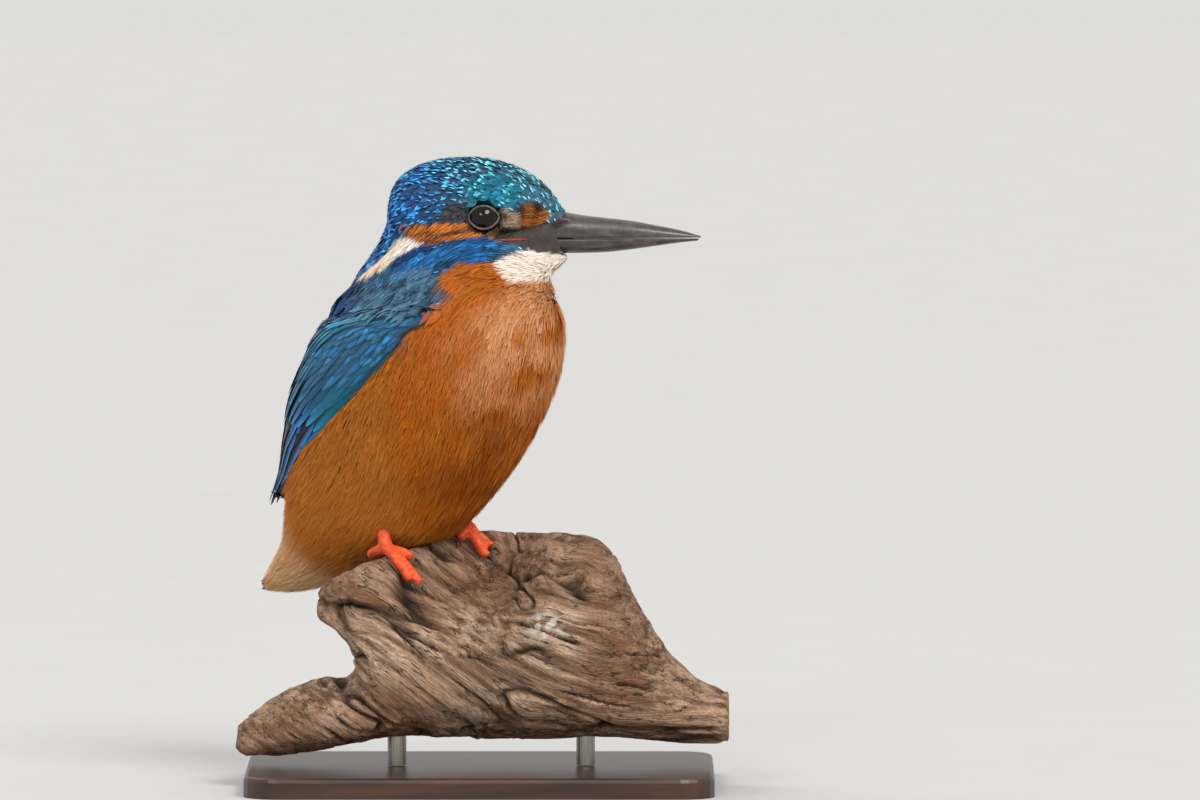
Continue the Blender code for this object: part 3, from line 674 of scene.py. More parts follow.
def feathers(name, paths, kind, widths, low, high, colours, unwrap, patch=0.003, tilt=0.0, arch=0.12, roll=0.0,
             bend=1.0):
    """One mesh of many feathers.

    low and high are the heights over the skin at root and tip, in mm. colours is feathers by rows by columns by 3,
    tilt raises one edge, roll is the random turn about the midline, and unwrap gives each root's place on the map.
    """
    rows, columns = kind["rows"], kind["columns"]
    count = len(paths.lengths)
    y = np.linspace(0.0, 1.0, rows)
    x = np.linspace(-1.0, 1.0, columns)
    lift = low[:, None] + (high - low)[:, None] * y[None] ** bend
    aside = unit(np.cross(paths.normals, paths.headings))
    half = 0.5 * widths[:, None] * np.array(kind["shape"])[None]
    lean = np.broadcast_to(tilt, (count,)) + CHANCE.normal(0.0, 1.0, count) * roll
    height = lift[..., None] + half[..., None] * (lean[:, None, None] * x - 2.0 * arch * x ** 2)
    points = (paths.places[:, :, None] + aside[:, :, None] * (half[..., None] * x)[..., None]
              + paths.normals[:, :, None] * height[..., None])
    across = np.broadcast_to(0.5 + 0.5 * x, (count, rows, columns))
    along = np.broadcast_to(y[:, None], (count, rows, columns))
    bake = unwrap[:, None, None] + patch * np.stack([across, along], axis=-1)
    vane = np.stack([half[..., None] * x, along * paths.lengths[:, None, None]], axis=-1)
    vane[..., 0] += np.arange(count)[:, None, None] * 7.0
    maps = {"OFBake": bake.reshape(-1, 2), "Vane": vane.reshape(-1, 2)}
    return make_mesh(name, points.reshape(-1, 3), grid_faces(count, rows, columns), colours.reshape(-1, 3), maps)


def unwrapped(points):
    """A place from 0 to 1 on an unwrap of the skin round the spine's line, for each point."""
    best = np.full(len(points), 1e9)
    along, around = np.zeros(len(points)), np.zeros(len(points))
    lengths = np.linalg.norm(np.diff(SPINE, axis=0), axis=1)
    reached = 0.0
    for start, end, length in zip(SPINE[:-1], SPINE[1:], lengths):
        axis = (end - start) / length
        t = np.clip((points - start) @ axis, 0.0, length)
        off = points - start - t[:, None] * axis
        gap = np.linalg.norm(off, axis=1)
        aside = unit(np.cross(axis, [0.0, 0.0, 1.0]) + np.array([0.0, 1e-3, 0.0]))
        over = np.cross(aside, axis)
        turn = np.arctan2(off @ aside, off @ over) / (2 * pi) + 0.5
        nearer = gap < best
        best = np.where(nearer, gap, best)
        along = np.where(nearer, (reached + t) / lengths.sum(), along)
        around = np.where(nearer, turn, around)
        reached += length
    return np.stack([0.02 + 0.94 * around, 0.02 + 0.94 * along], axis=1)


def tinted(colours, spread, seed, hue=0.0):
    """Colours that vary from feather to feather by this share, in brightness and a little in hue."""
    chance = np.random.default_rng(seed)
    light = np.exp(chance.normal(0.0, spread, (len(colours), 1)))
    shift = 1.0 + chance.normal(0.0, 1.0, (len(colours), 3)) * hue
    return colours * light * shift


def shaded(base, rows, columns, root=0.75, tip=1.0, edge=1.0):
    """One colour a feather, darker towards its root and, by edge, at its sides."""
    y = np.linspace(0.0, 1.0, rows)[None, :, None, None]
    x = np.abs(np.linspace(-1.0, 1.0, columns))[None, None, :, None]
    return base[:, None, None] * (root + (tip - root) * y) * (1.0 + (edge - 1.0) * x ** 2)


def tipped(base, tip, rows, columns, start, full):
    """Feathers whose colour turns to tip between start and full, as shares of their length."""
    y = np.linspace(0.0, 1.0, rows)
    share = smooth_step(start, full, y)[None, :, None]
    plain = np.broadcast_to(base[:, None, None], (len(base), rows, columns, 3))
    return mix(plain, np.broadcast_to(tip[:, None, None], plain.shape), np.broadcast_to(share, plain.shape[:3]))


# ---------------------------------------------------------------- the coat


def on_body(points, normals):
    return wing_share(points, normals) < 0.35


def clear_of_face(points):
    """False over the eyes and the bill's root."""
    u = points[:, 0] - HEAD_ORIGIN[0]
    w = points[:, 1] - HEAD_ORIGIN[1]
    v = points[:, 2] - HEAD_ORIGIN[2]
    eye = np.hypot(u / 4.35, (v - EYE_RAISE) / 3.75)
    half = np.interp(u, BILL_STATIONS[:, 0], BILL_STATIONS[:, 3], left=0.0)
    top = np.interp(u, BILL_STATIONS[:, 0], BILL_STATIONS[:, 1])
    bottom = np.interp(u, BILL_STATIONS[:, 0], BILL_STATIONS[:, 2])
    in_bill = (u > 10.0) & (np.abs(w) < half) & (v < top) & (v > bottom)
    side_u, side_v, _ = near_side(points)
    bare = inside(BARE_HORN, side_u, side_v, 0.15) > 0.5
    return (eye > 1.0) & ~in_bill & ~(bare & (points[:, 2] > 136.0))


def region_picker(names, least=0.5, other=None):
    """A test for scattered(): points where one of these regions shows, and none of the others does."""
    def wanted(points, normals):
        shares, _, _, _ = regions(points, 0.0)
        strongest = np.max([shares[name] for name in names], axis=0)
        keep = (strongest > least) & on_body(points, normals) & clear_of_face(points)
        for name in other or ():
            keep &= shares[name] < 0.5
        return keep
    return wanted


FACE_REGIONS = ["throat", "malar", "neck_patch", "ear", "lores", "pale_tuft", "loral_line"]


def crown_coat(skin):
    """The cap and nape: small dark scales, each tipped with a bright dash."""
    wanted = region_picker(["blue"], 0.5, FACE_REGIONS + ["shoulder", "back", "rump", "wing_rear"])
    roots, normals = skin.scattered(1.1, wanted, 31)
    directions = turned(laid(flow(roots), normals), normals, CHANCE.normal(0.0, 0.14, len(roots)))
    u, v, angle = near_side(roots)
    face = smooth_step(6.0, 16.0, u)
    low_head = smooth_step(-6.0, -16.0, v)
    lengths = mix(np.full(len(roots), 3.3), np.full(len(roots), 2.1), face) + 1.6 * low_head
    widths = mix(np.full(len(roots), 1.5), np.full(len(roots), 1.05), face)
    paths = Paths(skin, roots, directions, lengths, LEAF["rows"])
    base = tinted(markings(paths.places[:, 2], 0.3), 0.22, 32, 0.05)
    dash = mix(PAINT["crown_dash"], PAINT["nape_dash"], smooth_step(4.0, -16.0, u + 0.8 * (v - 8.0)))
    dash = tinted(dash, 0.28, 33, 0.06)
    shares, _, _, _ = regions(roots, 0.0)
    plain = np.maximum(shares["dark_brow"], smooth_step(0.05, 0.22, CHANCE.random(len(roots))))
    plain = np.maximum(plain, 0.55 * shares["teal_brow"])
    plain = np.maximum(plain, 0.8 * smooth_step(-9.0, -13.0, v))
    tip = mix(dash, base * 1.15, plain)
    colours = tipped(base, tip, LEAF["rows"], LEAF["columns"], 0.45, 0.7)
    low, high = np.full(len(roots), 0.0), paths.depth * 0.72
    return feathers("crown_feathers", paths, LEAF, widths, low, high, colours, unwrapped(roots), arch=0.1, roll=0.25)


def crown_dashes(skin):
    """The bright barbs that stand on the cap's feather tips, as fine short strands."""
    wanted = region_picker(["blue"], 0.5, FACE_REGIONS + ["shoulder", "back", "rump", "wing_rear",
                                                                 "dark_brow"])
    roots, normals = skin.scattered(1.15, wanted, 36)
    u, v, _ = near_side(roots)
    teal = regions(roots, 0.0)[0]["teal_brow"]
    keep = CHANCE.random(len(roots)) > 0.46 + 0.32 * smooth_step(-4.0, -12.0, v) + 0.3 * teal
    roots, normals, u, v = roots[keep], normals[keep], u[keep], v[keep]
    count = len(roots)
    directions = laid(flow(roots), normals)
    steep = radians(34.0) * smooth_step(17.0, 8.0, v) * np.sign(roots[:, 1] - HEAD_ORIGIN[1])
    directions = turned(directions, normals, steep + CHANCE.normal(0.0, 0.25, count))
    lengths = CHANCE.uniform(0.8, 1.6, count)
    paths = Paths(skin, roots, directions, lengths, STRAND["rows"])
    dash = mix(PAINT["crown_dash"], PAINT["nape_dash"], smooth_step(4.0, -14.0, u + 0.8 * (v - 8.0)))
    colours = shaded(tinted(dash, 0.3, 37, 0.05), STRAND["rows"], STRAND["columns"], 0.9, 1.1)
    widths = CHANCE.uniform(0.3, 0.52, count)
    low = paths.depth * 0.62
    return feathers("crown_dashes", paths, STRAND, widths, low, low + 0.22, colours, unwrapped(roots), arch=0.0)


def strand_coat(skin, name, wanted, spacing, length, width, seed, lift=(0.1, 0.7), spread=0.12, light=0.16,
                contrast=None, ragged=0.5):
    """Fine strands over a region: length and width in mm, spread the scatter of their direction in radians."""
    roots, normals = skin.scattered(spacing, wanted, seed)
    chance = np.random.default_rng(seed + 1)
    count = len(roots)
    directions = turned(laid(flow(roots), normals), normals, chance.normal(0.0, spread, count))
    lengths = length * chance.uniform(0.7, 1.25, count)
    paths = Paths(skin, roots, directions, lengths, STRAND["rows"])
    base = markings(paths.places[:, 2], ragged)
    if contrast is not None:
        share = smooth_step(0.45, 0.75, noise(paths.places[:, 1], contrast[1], seed + 2)) * contrast[2]
        base = mix(base, np.broadcast_to(contrast[0], base.shape), share)
    colours = shaded(tinted(base, light, seed + 3, 0.02), STRAND["rows"], STRAND["columns"], 0.8, 1.06)
    widths = width * chance.uniform(0.6, 1.3, count)
    low = paths.depth * lift[0]
    high = paths.depth * lift[1] * chance.uniform(0.8, 1.15, count)
    return feathers(name, paths, STRAND, widths, low, high, colours, unwrapped(roots), arch=0.0, roll=0.35)


def leaf_coat(skin, name, wanted, spacing, length, width, seed, lift=(0.0, 0.6), spread=0.12, light=0.12,
              edge=0.85, root=0.7):
    """Soft overlapping leaves over a region."""
    roots, normals = skin.scattered(spacing, wanted, seed)
    chance = np.random.default_rng(seed + 1)
    count = len(roots)
    directions = turned(laid(flow(roots), normals), normals, chance.normal(0.0, spread, count))
    lengths = length * chance.uniform(0.8, 1.2, count)
    paths = Paths(skin, roots, directions, lengths, LEAF["rows"])
    base = tinted(markings(paths.places[:, 3], 0.6), light, seed + 3, 0.02)
    colours = shaded(base, LEAF["rows"], LEAF["columns"], root, 1.08, edge)
    widths = width * chance.uniform(0.8, 1.25, count)
    low, high = paths.depth * lift[0], paths.depth * lift[1] * chance.uniform(0.85, 1.15, count)
    return feathers(name, paths, LEAF, widths, low, high, colours, unwrapped(roots), roll=0.3)


def over_wing_top(points, normals):
    """The lowest of the shoulder and mantle, whose feathers reach over the wing's top edge."""
    shares, _, _, angle = regions(points, 0.0)
    level = points[:, 2]
    covered = np.maximum(shares["shoulder"], shares["blue"])
    return (covered > 0.5) & (level > 126.5) & (level < 133.0) & on_body(points, normals)


def flank_overlap(skin):
    """Hair of the flank that lies over the wing's lower edge."""
    def wanted(points, normals):
        a, b, c = body_numbers(points)
        row_a, row_b, _, _, _ = wing_row(c)
        share = wing_share(points, normals)
        ahead = (a - row_a) - 0.6 * (np.abs(b) - row_b) > 0.0
        return (share > 0.02) & (share < 0.5) & ahead & (c > 16.0) & (c < 60.0)
    roots, normals = skin.scattered(0.55, wanted, 77)
    chance = np.random.default_rng(78)
    count = len(roots)
    side = np.sign((roots - BODY_ORIGIN) @ RIGHT)
    directions = turned(laid(flow(roots), normals), normals, chance.normal(0.0, 0.2, count) - 0.22 * side)
    lengths = chance.uniform(3.5, 7.0, count)
    paths = Paths(skin, roots, directions, lengths, STRAND["rows"])
    base = mix(PAINT["flank"], PAINT["belly"], chance.random(count))
    colours = shaded(tinted(base, 0.14, 79, 0.02), STRAND["rows"], STRAND["columns"], 0.8, 1.06)
    low = np.full(count, 0.9)
    return feathers("flank_overlap", paths, STRAND, chance.uniform(0.16, 0.34, count), low, low + 0.6, colours,
                    unwrapped(roots), arch=0.0, roll=0.35)


def under_picker(upper):
    """The orange underparts, above or below the breast's middle."""
    def wanted(points, normals):
        shares, _, _, angle = regions(points, 0.0)
        blue = np.max([shares[name] for name in ("blue", "shoulder", "back", "rump") + tuple(FACE_REGIONS)], axis=0)
        side = (points[:, 2] > 100.0) == upper
        return (blue < 0.5) & side & on_body(points, normals) & clear_of_face(points)
    return wanted


# ---------------------------------------------------------------- wings and tail


def chart_paths(skin, side, roots, tips, rows):
    """Midlines on a wing from root to tip, both given as height and share across."""
    t = np.linspace(0.0, 1.0, rows)
    c = roots[:, :1] + (tips - roots)[:, :1] * t
    s = roots[:, 1:] + (tips - roots)[:, 1:] * t
    flat = wing_place(side, c.ravel(), np.clip(s.ravel(), -1.0, 1.0))
    places, normals, _ = skin.nearest(flat)
    count = len(roots)
    path = Paths.__new__(Paths)
    path.places = places.reshape(count, rows, 3)
    path.normals = normals.reshape(count, rows, 3)
    steps = np.gradient(path.places, axis=1)
    path.headings = unit(steps)
    path.lengths = np.linalg.norm(np.diff(path.places, axis=1), axis=2).sum(1)
    path.depth = np.full(count, 0.9)
    return path


def vane_colours(count, rows, columns, base, edge=None, edge_side=0, edge_from=0.6, tip=None, tip_from=0.8,
                 shaft=0.8, dash=None, dash_place=(0.7, 0.95, 0.45)):
    """Colours over big vanes: edge_side -1, 1 or 0 for both sides; dash is a bright drop near the tip."""
    y = np.linspace(0.0, 1.0, rows)[None, :, None]
    x = np.linspace(-1.0, 1.0, columns)[None, None, :]
    full = (count, rows, columns)
    colours = np.broadcast_to(base[:, None, None], full + (3,)).copy()
    if tip is not None:
        share = np.broadcast_to(smooth_step(tip_from, min(1.0, tip_from + 0.15), y), full)
        colours = mix(colours, np.broadcast_to(tip[:, None, None], colours.shape), share)
    if edge is not None:
        reach = np.abs(x) if edge_side == 0 else x * edge_side
        share = np.broadcast_to(smooth_step(edge_from, edge_from + 0.25, reach), full)
        colours = mix(colours, np.broadcast_to(edge[:, None, None], colours.shape), share)
    if dash is not None:
        start, end, wide = dash_place
        share = smooth_step(start - 0.12, start, y) * smooth_step(end + 0.1, end, y) * smooth_step(wide + 0.3, wide, abs(x))
        colours = mix(colours, np.broadcast_to(dash[:, None, None], colours.shape), np.broadcast_to(share, full))
    # The shaft is drawn darker, and each vane darkens towards its root: painted shade under the feathers that lie over
    # it.
    middle = np.broadcast_to(smooth_step(0.3, 0.0, np.abs(x)) * (1.0 - shaft), full)
    return colours * (1.0 - middle[..., None]) * (0.8 + 0.2 * y[..., None])


def wing_group(skin, name, side, rows_of, kind, pattern, seed, low=0.1, high=0.75, tilt=0.0, cell=0.003):
    """One wing's feathers of one kind; rows_of is a list of (root c, tip c, first s, last s, count, width)."""
    chance = np.random.default_rng(seed)
    roots, tips, widths, order = [], [], [], []
    for c_root, c_tip, s_first, s_last, count, width in rows_of:
        for k in range(count):
            share = (k + 0.5) / count
            s = s_first + (s_last - s_first) * share
            wobble = chance.normal(0.0, 1.0, 4)
            roots.append((c_root + 0.5 * wobble[0], s + 0.015 * wobble[1]))
            tips.append((c_tip + 0.7 * wobble[2], s + 0.015 * wobble[3]))
            widths.append(width * chance.uniform(0.9, 1.12))
            order.append(share)
    roots, tips = np.array(roots), np.array(tips)
    paths = chart_paths(skin, side, roots, tips, kind["rows"])
    order = np.array(order)
    colours = pattern(order, seed, side)
    heights = np.full(len(roots), low)
    # A row's feathers overlap towards the flank, so the ones nearer the back lie a little higher.
    rise = 0.12 * order
    unwrap = np.stack([0.05 + 0.4 * (roots[:, 1] + 1.0) / 2.0 + (0.5 if side > 0 else 0.0),
                       0.05 + 0.85 * (70.0 - roots[:, 0]) / 70.0], axis=1)
    return feathers(name, paths, kind, np.array(widths), heights + rise, heights + high + rise, colours, unwrap,
                    patch=cell, tilt=side * tilt, arch=0.06, roll=0.05)


def toned(names, order, seed, spread=0.15):
    """A colour for each feather, from the named paints in turn along the row."""
    palette = np.array([PAINT[name] for name in names])
    place = order * (len(names) - 1)
    low = np.clip(place.astype(int), 0, len(names) - 1)
    high = np.clip(low + 1, 0, len(names) - 1)
    return tinted(mix(palette[low], palette[high], place - low), spread, seed, 0.04)


def covert_pattern(order, seed, front):
    """Slate blue coverts with dark edges, some with a bright drop near the tip."""
    base = toned(["covert", "covert", "teal"], order, seed)
    edge = toned(["covert_dark", "covert", "covert_dark"], order, seed + 1, 0.3)
    dash = toned(["covert_dash"], order, seed + 2, 0.3)
    dash = np.where(np.random.default_rng(seed).random((len(base), 1)) < 0.55, dash, base * 1.4)
    return vane_colours(len(base), 10, 7, base, edge=edge, edge_from=0.7, dash=dash, dash_place=(0.55, 0.85, 0.12))


def scapular_pattern(order, seed, front):
    """Long teal feathers with grey-lilac edges."""
    base = toned(["teal", "teal_bright", "teal", "covert", "lilac"], order, seed, 0.2)
    edge = toned(["covert_dark", "covert_dark", "lilac", "buff"], order, seed + 1, 0.2)
    return vane_colours(len(base), 10, 7, base, edge=edge, edge_from=0.55, shaft=0.5)


def secondary_pattern(order, seed, front):
    """Teal on the side towards the flank, dark on the side that the next feather covers, with a pale tip."""
    base = toned(["teal", "covert", "teal"], order, seed)
    edge = toned(["flight", "flight"], order, seed + 1)
    tip = toned(["teal_bright", "covert_dash", "teal_bright"], order, seed + 2)
    return vane_colours(len(base), 10, 7, base, edge=edge, edge_side=-front, edge_from=0.2, tip=tip, tip_from=0.84)


def primary_pattern(order, seed, front):
    """Brown-black, with a bright line along the edge towards the flank."""
    base = toned(["flight", "flight", "lilac"], order, seed)
    edge = toned(["flight_edge", "flight_edge", "lilac", "buff"], order, seed + 1, 0.1)
    edge = np.where((np.arange(len(base)) % 2 == 0)[:, None], edge, base * 1.3)
    return vane_colours(len(base), 10, 7, base, edge=edge, edge_side=front, edge_from=0.55)


def wing(skin, side):
    """A folded wing's feathers, the longest first, so that each row overlaps the one below it."""
    name = "wing_right_" if side > 0 else "wing_left_"
    groups = [
        ("primaries", [(40.0, 10.5, -0.5, 0.35, 4, 4.6), (44.0, 17.0, -0.85, 0.7, 6, 4.8),
                       (46.0, 25.0, -1.0, 0.9, 7, 5.0)], POINTED, primary_pattern, 0.0, 0.5),
        ("secondaries", [(60.0, 33.0, -1.0, 0.5, 8, 4.6), (58.0, 38.0, -0.95, 0.95, 9, 4.6)],
         VANE, secondary_pattern, 0.25, 0.65),
        ("greater_coverts", [(58.0, 43.0, -0.95, 0.7, 12, 3.6), (60.0, 47.0, -0.93, 0.8, 13, 3.3)],
         VANE, covert_pattern, 0.3, 0.75),
        ("coverts", [(66.5 - 1.9 * k, 60.0 - 2.1 * k, -0.97, 0.8, 15 + k, 2.5) for k in range(6)],
         VANE, covert_pattern, 0.3, 0.8),
        ("scapulars", [(65.5, 40.0, 0.35, 1.0, 6, 3.6), (66.0, 47.0, 0.2, 1.0, 8, 3.2), (66.0, 53.0, 0.0, 1.0, 9, 3.0),
                       (66.5, 59.0, -0.1, 1.0, 10, 2.8)],
         POINTED, scapular_pattern, 0.55, 0.95),
    ]
    pieces = []
    for number, (group, rows_of, kind, pattern, low, high) in enumerate(groups):
        pieces.append(wing_group(skin, name + group, side, rows_of, kind, pattern, 50 + number * 7 + side, low,
                                 high, tilt=0.16, cell=0.02))
    return pieces


def tail_feathers(skin):
    """Twelve short dark blue tail feathers over the tail's upper side."""
    count = 12
    spread = np.linspace(-1.0, 1.0, count)
    roots = body(np.full(count, -44.0), spread * 6.5, np.full(count, 8.0))
    _, normal, _ = skin.nearest(roots)
    directions = np.broadcast_to(FORWARD * -0.55 + np.array([0.0, 0.0, -0.84]), roots.shape) + RIGHT * spread[:, None] * 0.05
    paths = Paths(skin, roots, unit(directions), np.full(count, 19.0), VANE["rows"])
    base = toned(["tail"], np.abs(spread), 90)
    colours = vane_colours(count, 10, 7, base, edge=base * 0.5, edge_from=0.7)
    return feathers("tail_feathers", paths, VANE, np.full(count, 3.4), np.full(count, 0.1), 0.5 + 0.3 * (1 - np.abs(spread)),
                    colours, unwrapped(roots), patch=0.02, arch=0.05, roll=0.05)


# ---------------------------------------------------------------- eyes, lids, bill


def eye_surface(side, u, v):
    """How far from the head's middle the eye's outside is, at u forward and v above its centre."""
    left = np.clip(1.0 - (u / EYE_RADII[0]) ** 2 - (v / EYE_RADII[2]) ** 2, 0.0, 1.0)
    return side * (EYE_SIDE + EYE_RADII[1] * np.sqrt(left))


def lid_rings():
    """The bare lids round both eyes: a soft rim that thins to a point before and behind the eye."""
    made, corners = [], []
    total = 0
    for side in (-1, 1):
        phi = np.linspace(0.0, 2 * pi, 64, endpoint=False)
        corner = np.abs(np.cos(phi)) ** 8
        u, v = (3.62 + 0.35 * corner) * np.cos(phi), 3.02 * np.sin(phi)
        centre = head(u, eye_surface(side, u * 0.93, v * 0.93), v + EYE_RAISE)
        outward = unit(np.stack([u / 16.0, np.full(64, side * 0.32), v / 12.0], axis=1))
        along = unit(np.roll(centre, -1, 0) - np.roll(centre, 1, 0))
        over = unit(np.cross(along, outward))
        thick = 0.31 - 0.06 * corner
        ring = []
        for k in range(10):
            turn = 2 * pi * k / 10
            ring.append(centre + (outward * cos(turn) + over * sin(turn)) * thick[:, None])
        points, faces = tube_mesh(np.stack(ring, axis=1), closed_path=True)
        made.append(points)
        corners.append(faces + total)
        total += len(points)
    return np.concatenate(made), np.concatenate(corners)


def gape_ridges(skin):
    """The fleshy red edge of the mouth on each side, from its corner to the horn."""
    made, corners, total = [], [], 0
    u = np.linspace(1.2, 12.5, 16)
    for side in (-1, 1):
        line = head(u, np.full(16, side * 12.0), np.interp(u, [1.2, 5.0, 12.5], [-5.7, -5.25, -5.0]))
        place, normal, _ = skin.nearest(line)
        place[:, 2] = line[:, 2]
        thick = 0.34 * np.sin(np.linspace(0.25, pi - 0.12, 16)) ** 0.6
        up = np.array([0.0, 0.0, 1.0])
        rings = np.stack([place + (normal * 0.8 * cos(t) + up * sin(t)) * thick[:, None]
                          for t in np.linspace(0.0, 2 * pi, 8, endpoint=False)], axis=1)
        points, faces = tube_mesh(rings)
        made.append(points)
        corners.append(faces + total)
        total += len(points)
    return np.concatenate(made), np.concatenate(corners)


def nostrils(skin):
    """The slit of the nostril on each side, a flat red-brown lens on the horn at the bill's root."""
    made, corners, total = [], [], 0
    u = np.linspace(17.9, 22.3, 14)
    v = np.interp(u, [17.9, 22.3], [-0.95, -0.35])
    edge = BILL_PARTING + BILL_GAP / 2
    share = (v - edge) / (np.interp(u, BILL_STATIONS[:, 0], BILL_STATIONS[:, 1]) - edge)
    lean = np.sqrt(1.0 - share ** 2.5)
    bill = np.interp(u, BILL_STATIONS[:, 0], BILL_STATIONS[:, 3]) * lean * (1.0 - 0.10 * share ** 3)
    for side in (-1, 1):
        place, _, _ = skin.nearest(head(u, np.full(14, side * 8.0), v))
        out = np.maximum(np.abs(place[:, 1] - HEAD_ORIGIN[1]), bill) + 0.02
        line = head(u, side * out, v)
        thick = 0.36 * np.sin(np.linspace(0.2, pi - 0.2, 14)) ** 0.7
        rings = np.stack([line + (np.array([0.0, side * 0.4, 0.0]) * cos(t) + np.array([0.0, 0.0, 1.0]) * sin(t))
                          * thick[:, None] for t in np.linspace(0.0, 2 * pi, 8, endpoint=False)], axis=1)
        points, faces = tube_mesh(rings)
        made.append(points)
        corners.append(faces + total)
        total += len(points)
    return np.concatenate(made), np.concatenate(corners)


def eye_piece(side):
    """One eye: a dark brown iris and black pupil painted on a ball whose front bulges slightly as a cornea."""
    rows, columns = 28, 56
    polar = np.linspace(0.0, pi, rows)[:, None]
    round_it = np.linspace(0.0, 2 * pi, columns, endpoint=False)[None]
    outward = np.broadcast_to(np.cos(polar), (rows, columns))
    radius = np.sin(polar) * np.ones_like(round_it)
    bulge = 1.0 + 0.05 * smooth_step(0.55, 0.0, radius) * (outward > 0)
    points = np.stack([EYE_RADII[0] * radius * np.cos(round_it), side * (EYE_SIDE + EYE_RADII[1] * outward * bulge),
                       EYE_RADII[2] * radius * np.sin(round_it) + EYE_RAISE], axis=-1) + HEAD_ORIGIN
    iris = mix(np.array(paint("0a0706")), np.array(paint("160b06")), smooth_step(0.42, 0.5, radius) * (outward > 0))
    colour = mix(iris, np.array(paint("0c0a09")), smooth_step(0.8, 0.92, radius))
    points, faces = tube_mesh(points)
    return make_mesh("eye_ball_right" if side < 0 else "eye_ball_left", points, faces, colour.reshape(-1, 3))


def bill_half(upper):
    """One half of the bill, finer than the CAD's, with a ridge and, on the upper half, a shallow dent for the nostril.
    """
    rows, columns = 90, 33
    along = np.linspace(BILL_STATIONS[0, 0], BILL_STATIONS[-1, 0], rows)
    top, bottom, half = (np.interp(along, BILL_STATIONS[:, 0], BILL_STATIONS[:, k]) for k in (1, 2, 3))
    top, bottom, half = (np.convolve(np.pad(x, 4, "edge"), np.ones(9) / 9, "valid") for x in (top, bottom, half))
    half[-1], top[-1], bottom[-1] = 0.3, -4.85, -5.6
    turn = np.linspace(0.0, pi, columns)
    s, t = np.cos(turn), np.sin(turn) ** 0.8
    edge = BILL_PARTING + (BILL_GAP / 2 if upper else -BILL_GAP / 2)
    reach = (top if upper else bottom) - edge
    u = along[:, None] * np.ones(columns) * (1.0 if upper else 1.0 - 0.7 / 57.5)
    w = half[:, None] * s * (1.0 if upper else 0.96) * (1.0 - 0.10 * t ** 3)
    v = edge + reach[:, None] * t
    dent = np.exp(-((u - 20.2) / 2.0) ** 2 - ((v + 0.6) / 0.5) ** 2) if upper else np.zeros_like(u)
    w = w * (1.0 - 0.16 * dent)
    points = HEAD_ORIGIN + np.stack([u, w, v], axis=-1)
    fine = noise(points.reshape(-1, 3) * (0.25, 1.0, 1.0), 0.7, 61).reshape(u.shape)
    horn = mix(PAINT["horn"], PAINT["horn_pale"], fine)
    # A pale grey line along the ridge of the upper half, fainter along the keel of the lower half: painted highlight.
    horn = mix(horn, paint("7a7478"), 0.35 * smooth_step(0.8, 1.0, t)[None] * (1.0 if upper else 0.4))
    root = smooth_step(17.0, 12.0, u)
    horn = mix(horn, paint("8a3a28") if upper else paint("b05238"), root * smooth_step(0.45, 0.1, t)[None] * 0.8)
    points, faces = tube_mesh(points)
    return make_mesh("bill_half_upper" if upper else "bill_half_lower", points, faces, horn.reshape(-1, 3))


# ---------------------------------------------------------------- feet, claws, perch


def scaly_feet():
    """The bare red legs and toes, with plates across the toes."""
    points, quads = remeshed(node_solid(["leg_left", "leg_right"]), 0.24, 3)
    normals = normals_of(points, quads)
    ahead = points @ FORWARD
    rings = np.abs(np.sin(ahead * pi / 0.85))
    plates = smooth_step(0.0, 0.35, rings)
    top = smooth_step(-0.1, 0.5, normals[:, 2])
    rough = noise(points, 0.5, 71)
    points = points + normals * (0.07 * plates * top + 0.06 * rough - 0.08)[:, None]
    colour = mix(paint("a92c12"), paint("ee5a2a"), 0.35 + 0.65 * plates * top)
    colour = mix(colour, paint("f08a5a"), 0.35 * smooth_step(0.55, 0.9, noise(points, 1.4, 72)))
    return points, quads, colour


def refined_claws(names):
    """All the claws as one smoother piece."""
    solid = node_solid(names)
    mesh = bpy.data.meshes.new("claws")
    solid.to_mesh(mesh)
    solid.free()
    obj = bpy.data.objects.new("claws", mesh)
    bpy.context.collection.objects.link(obj)
    modifier = obj.modifiers.new("Round", "SUBSURF")
    modifier.levels = modifier.render_levels = 2
    obj.data = bpy.data.meshes.new_from_object(obj.evaluated_get(bpy.context.evaluated_depsgraph_get()))
    obj.modifiers.clear()
    obj.data.polygons.foreach_set("use_smooth", np.ones(len(obj.data.polygons), bool))
    return obj


KNOTS = [(7.0, 52.0, 7.0), (8.0, 15.0, 6.0), (27.0, 58.0, 7.0), (-38.0, 48.0, 6.0)]  # along, up, reach


def grain_place(points):
    """Along the grain, across it and through it: the wood's lines run down to the right and then level out."""
    x, y, z = points.T
    drop = np.where(x < 45.0, 0.72 * (x - 45.0) + 0.0, 0.0)
    drop = np.where((x > 5.0) & (x < 45.0), -0.72 * (45.0 - x) ** 2 / 80.0, np.where(x <= 5.0, -14.4 + 0.72 * (x - 5.0), 0.0))
    across = z + drop + 3.0 * (noise(points, 26.0, 81) - 0.5)
    for knot_x, knot_z, reach in KNOTS:
        away = np.hypot(x - knot_x, z - knot_z)
        pull = np.exp(-(away / reach) ** 2)
        across = across + pull * (away * 1.6 - reach * 0.4)
    return np.stack([x * 1.2, across, y], axis=1)


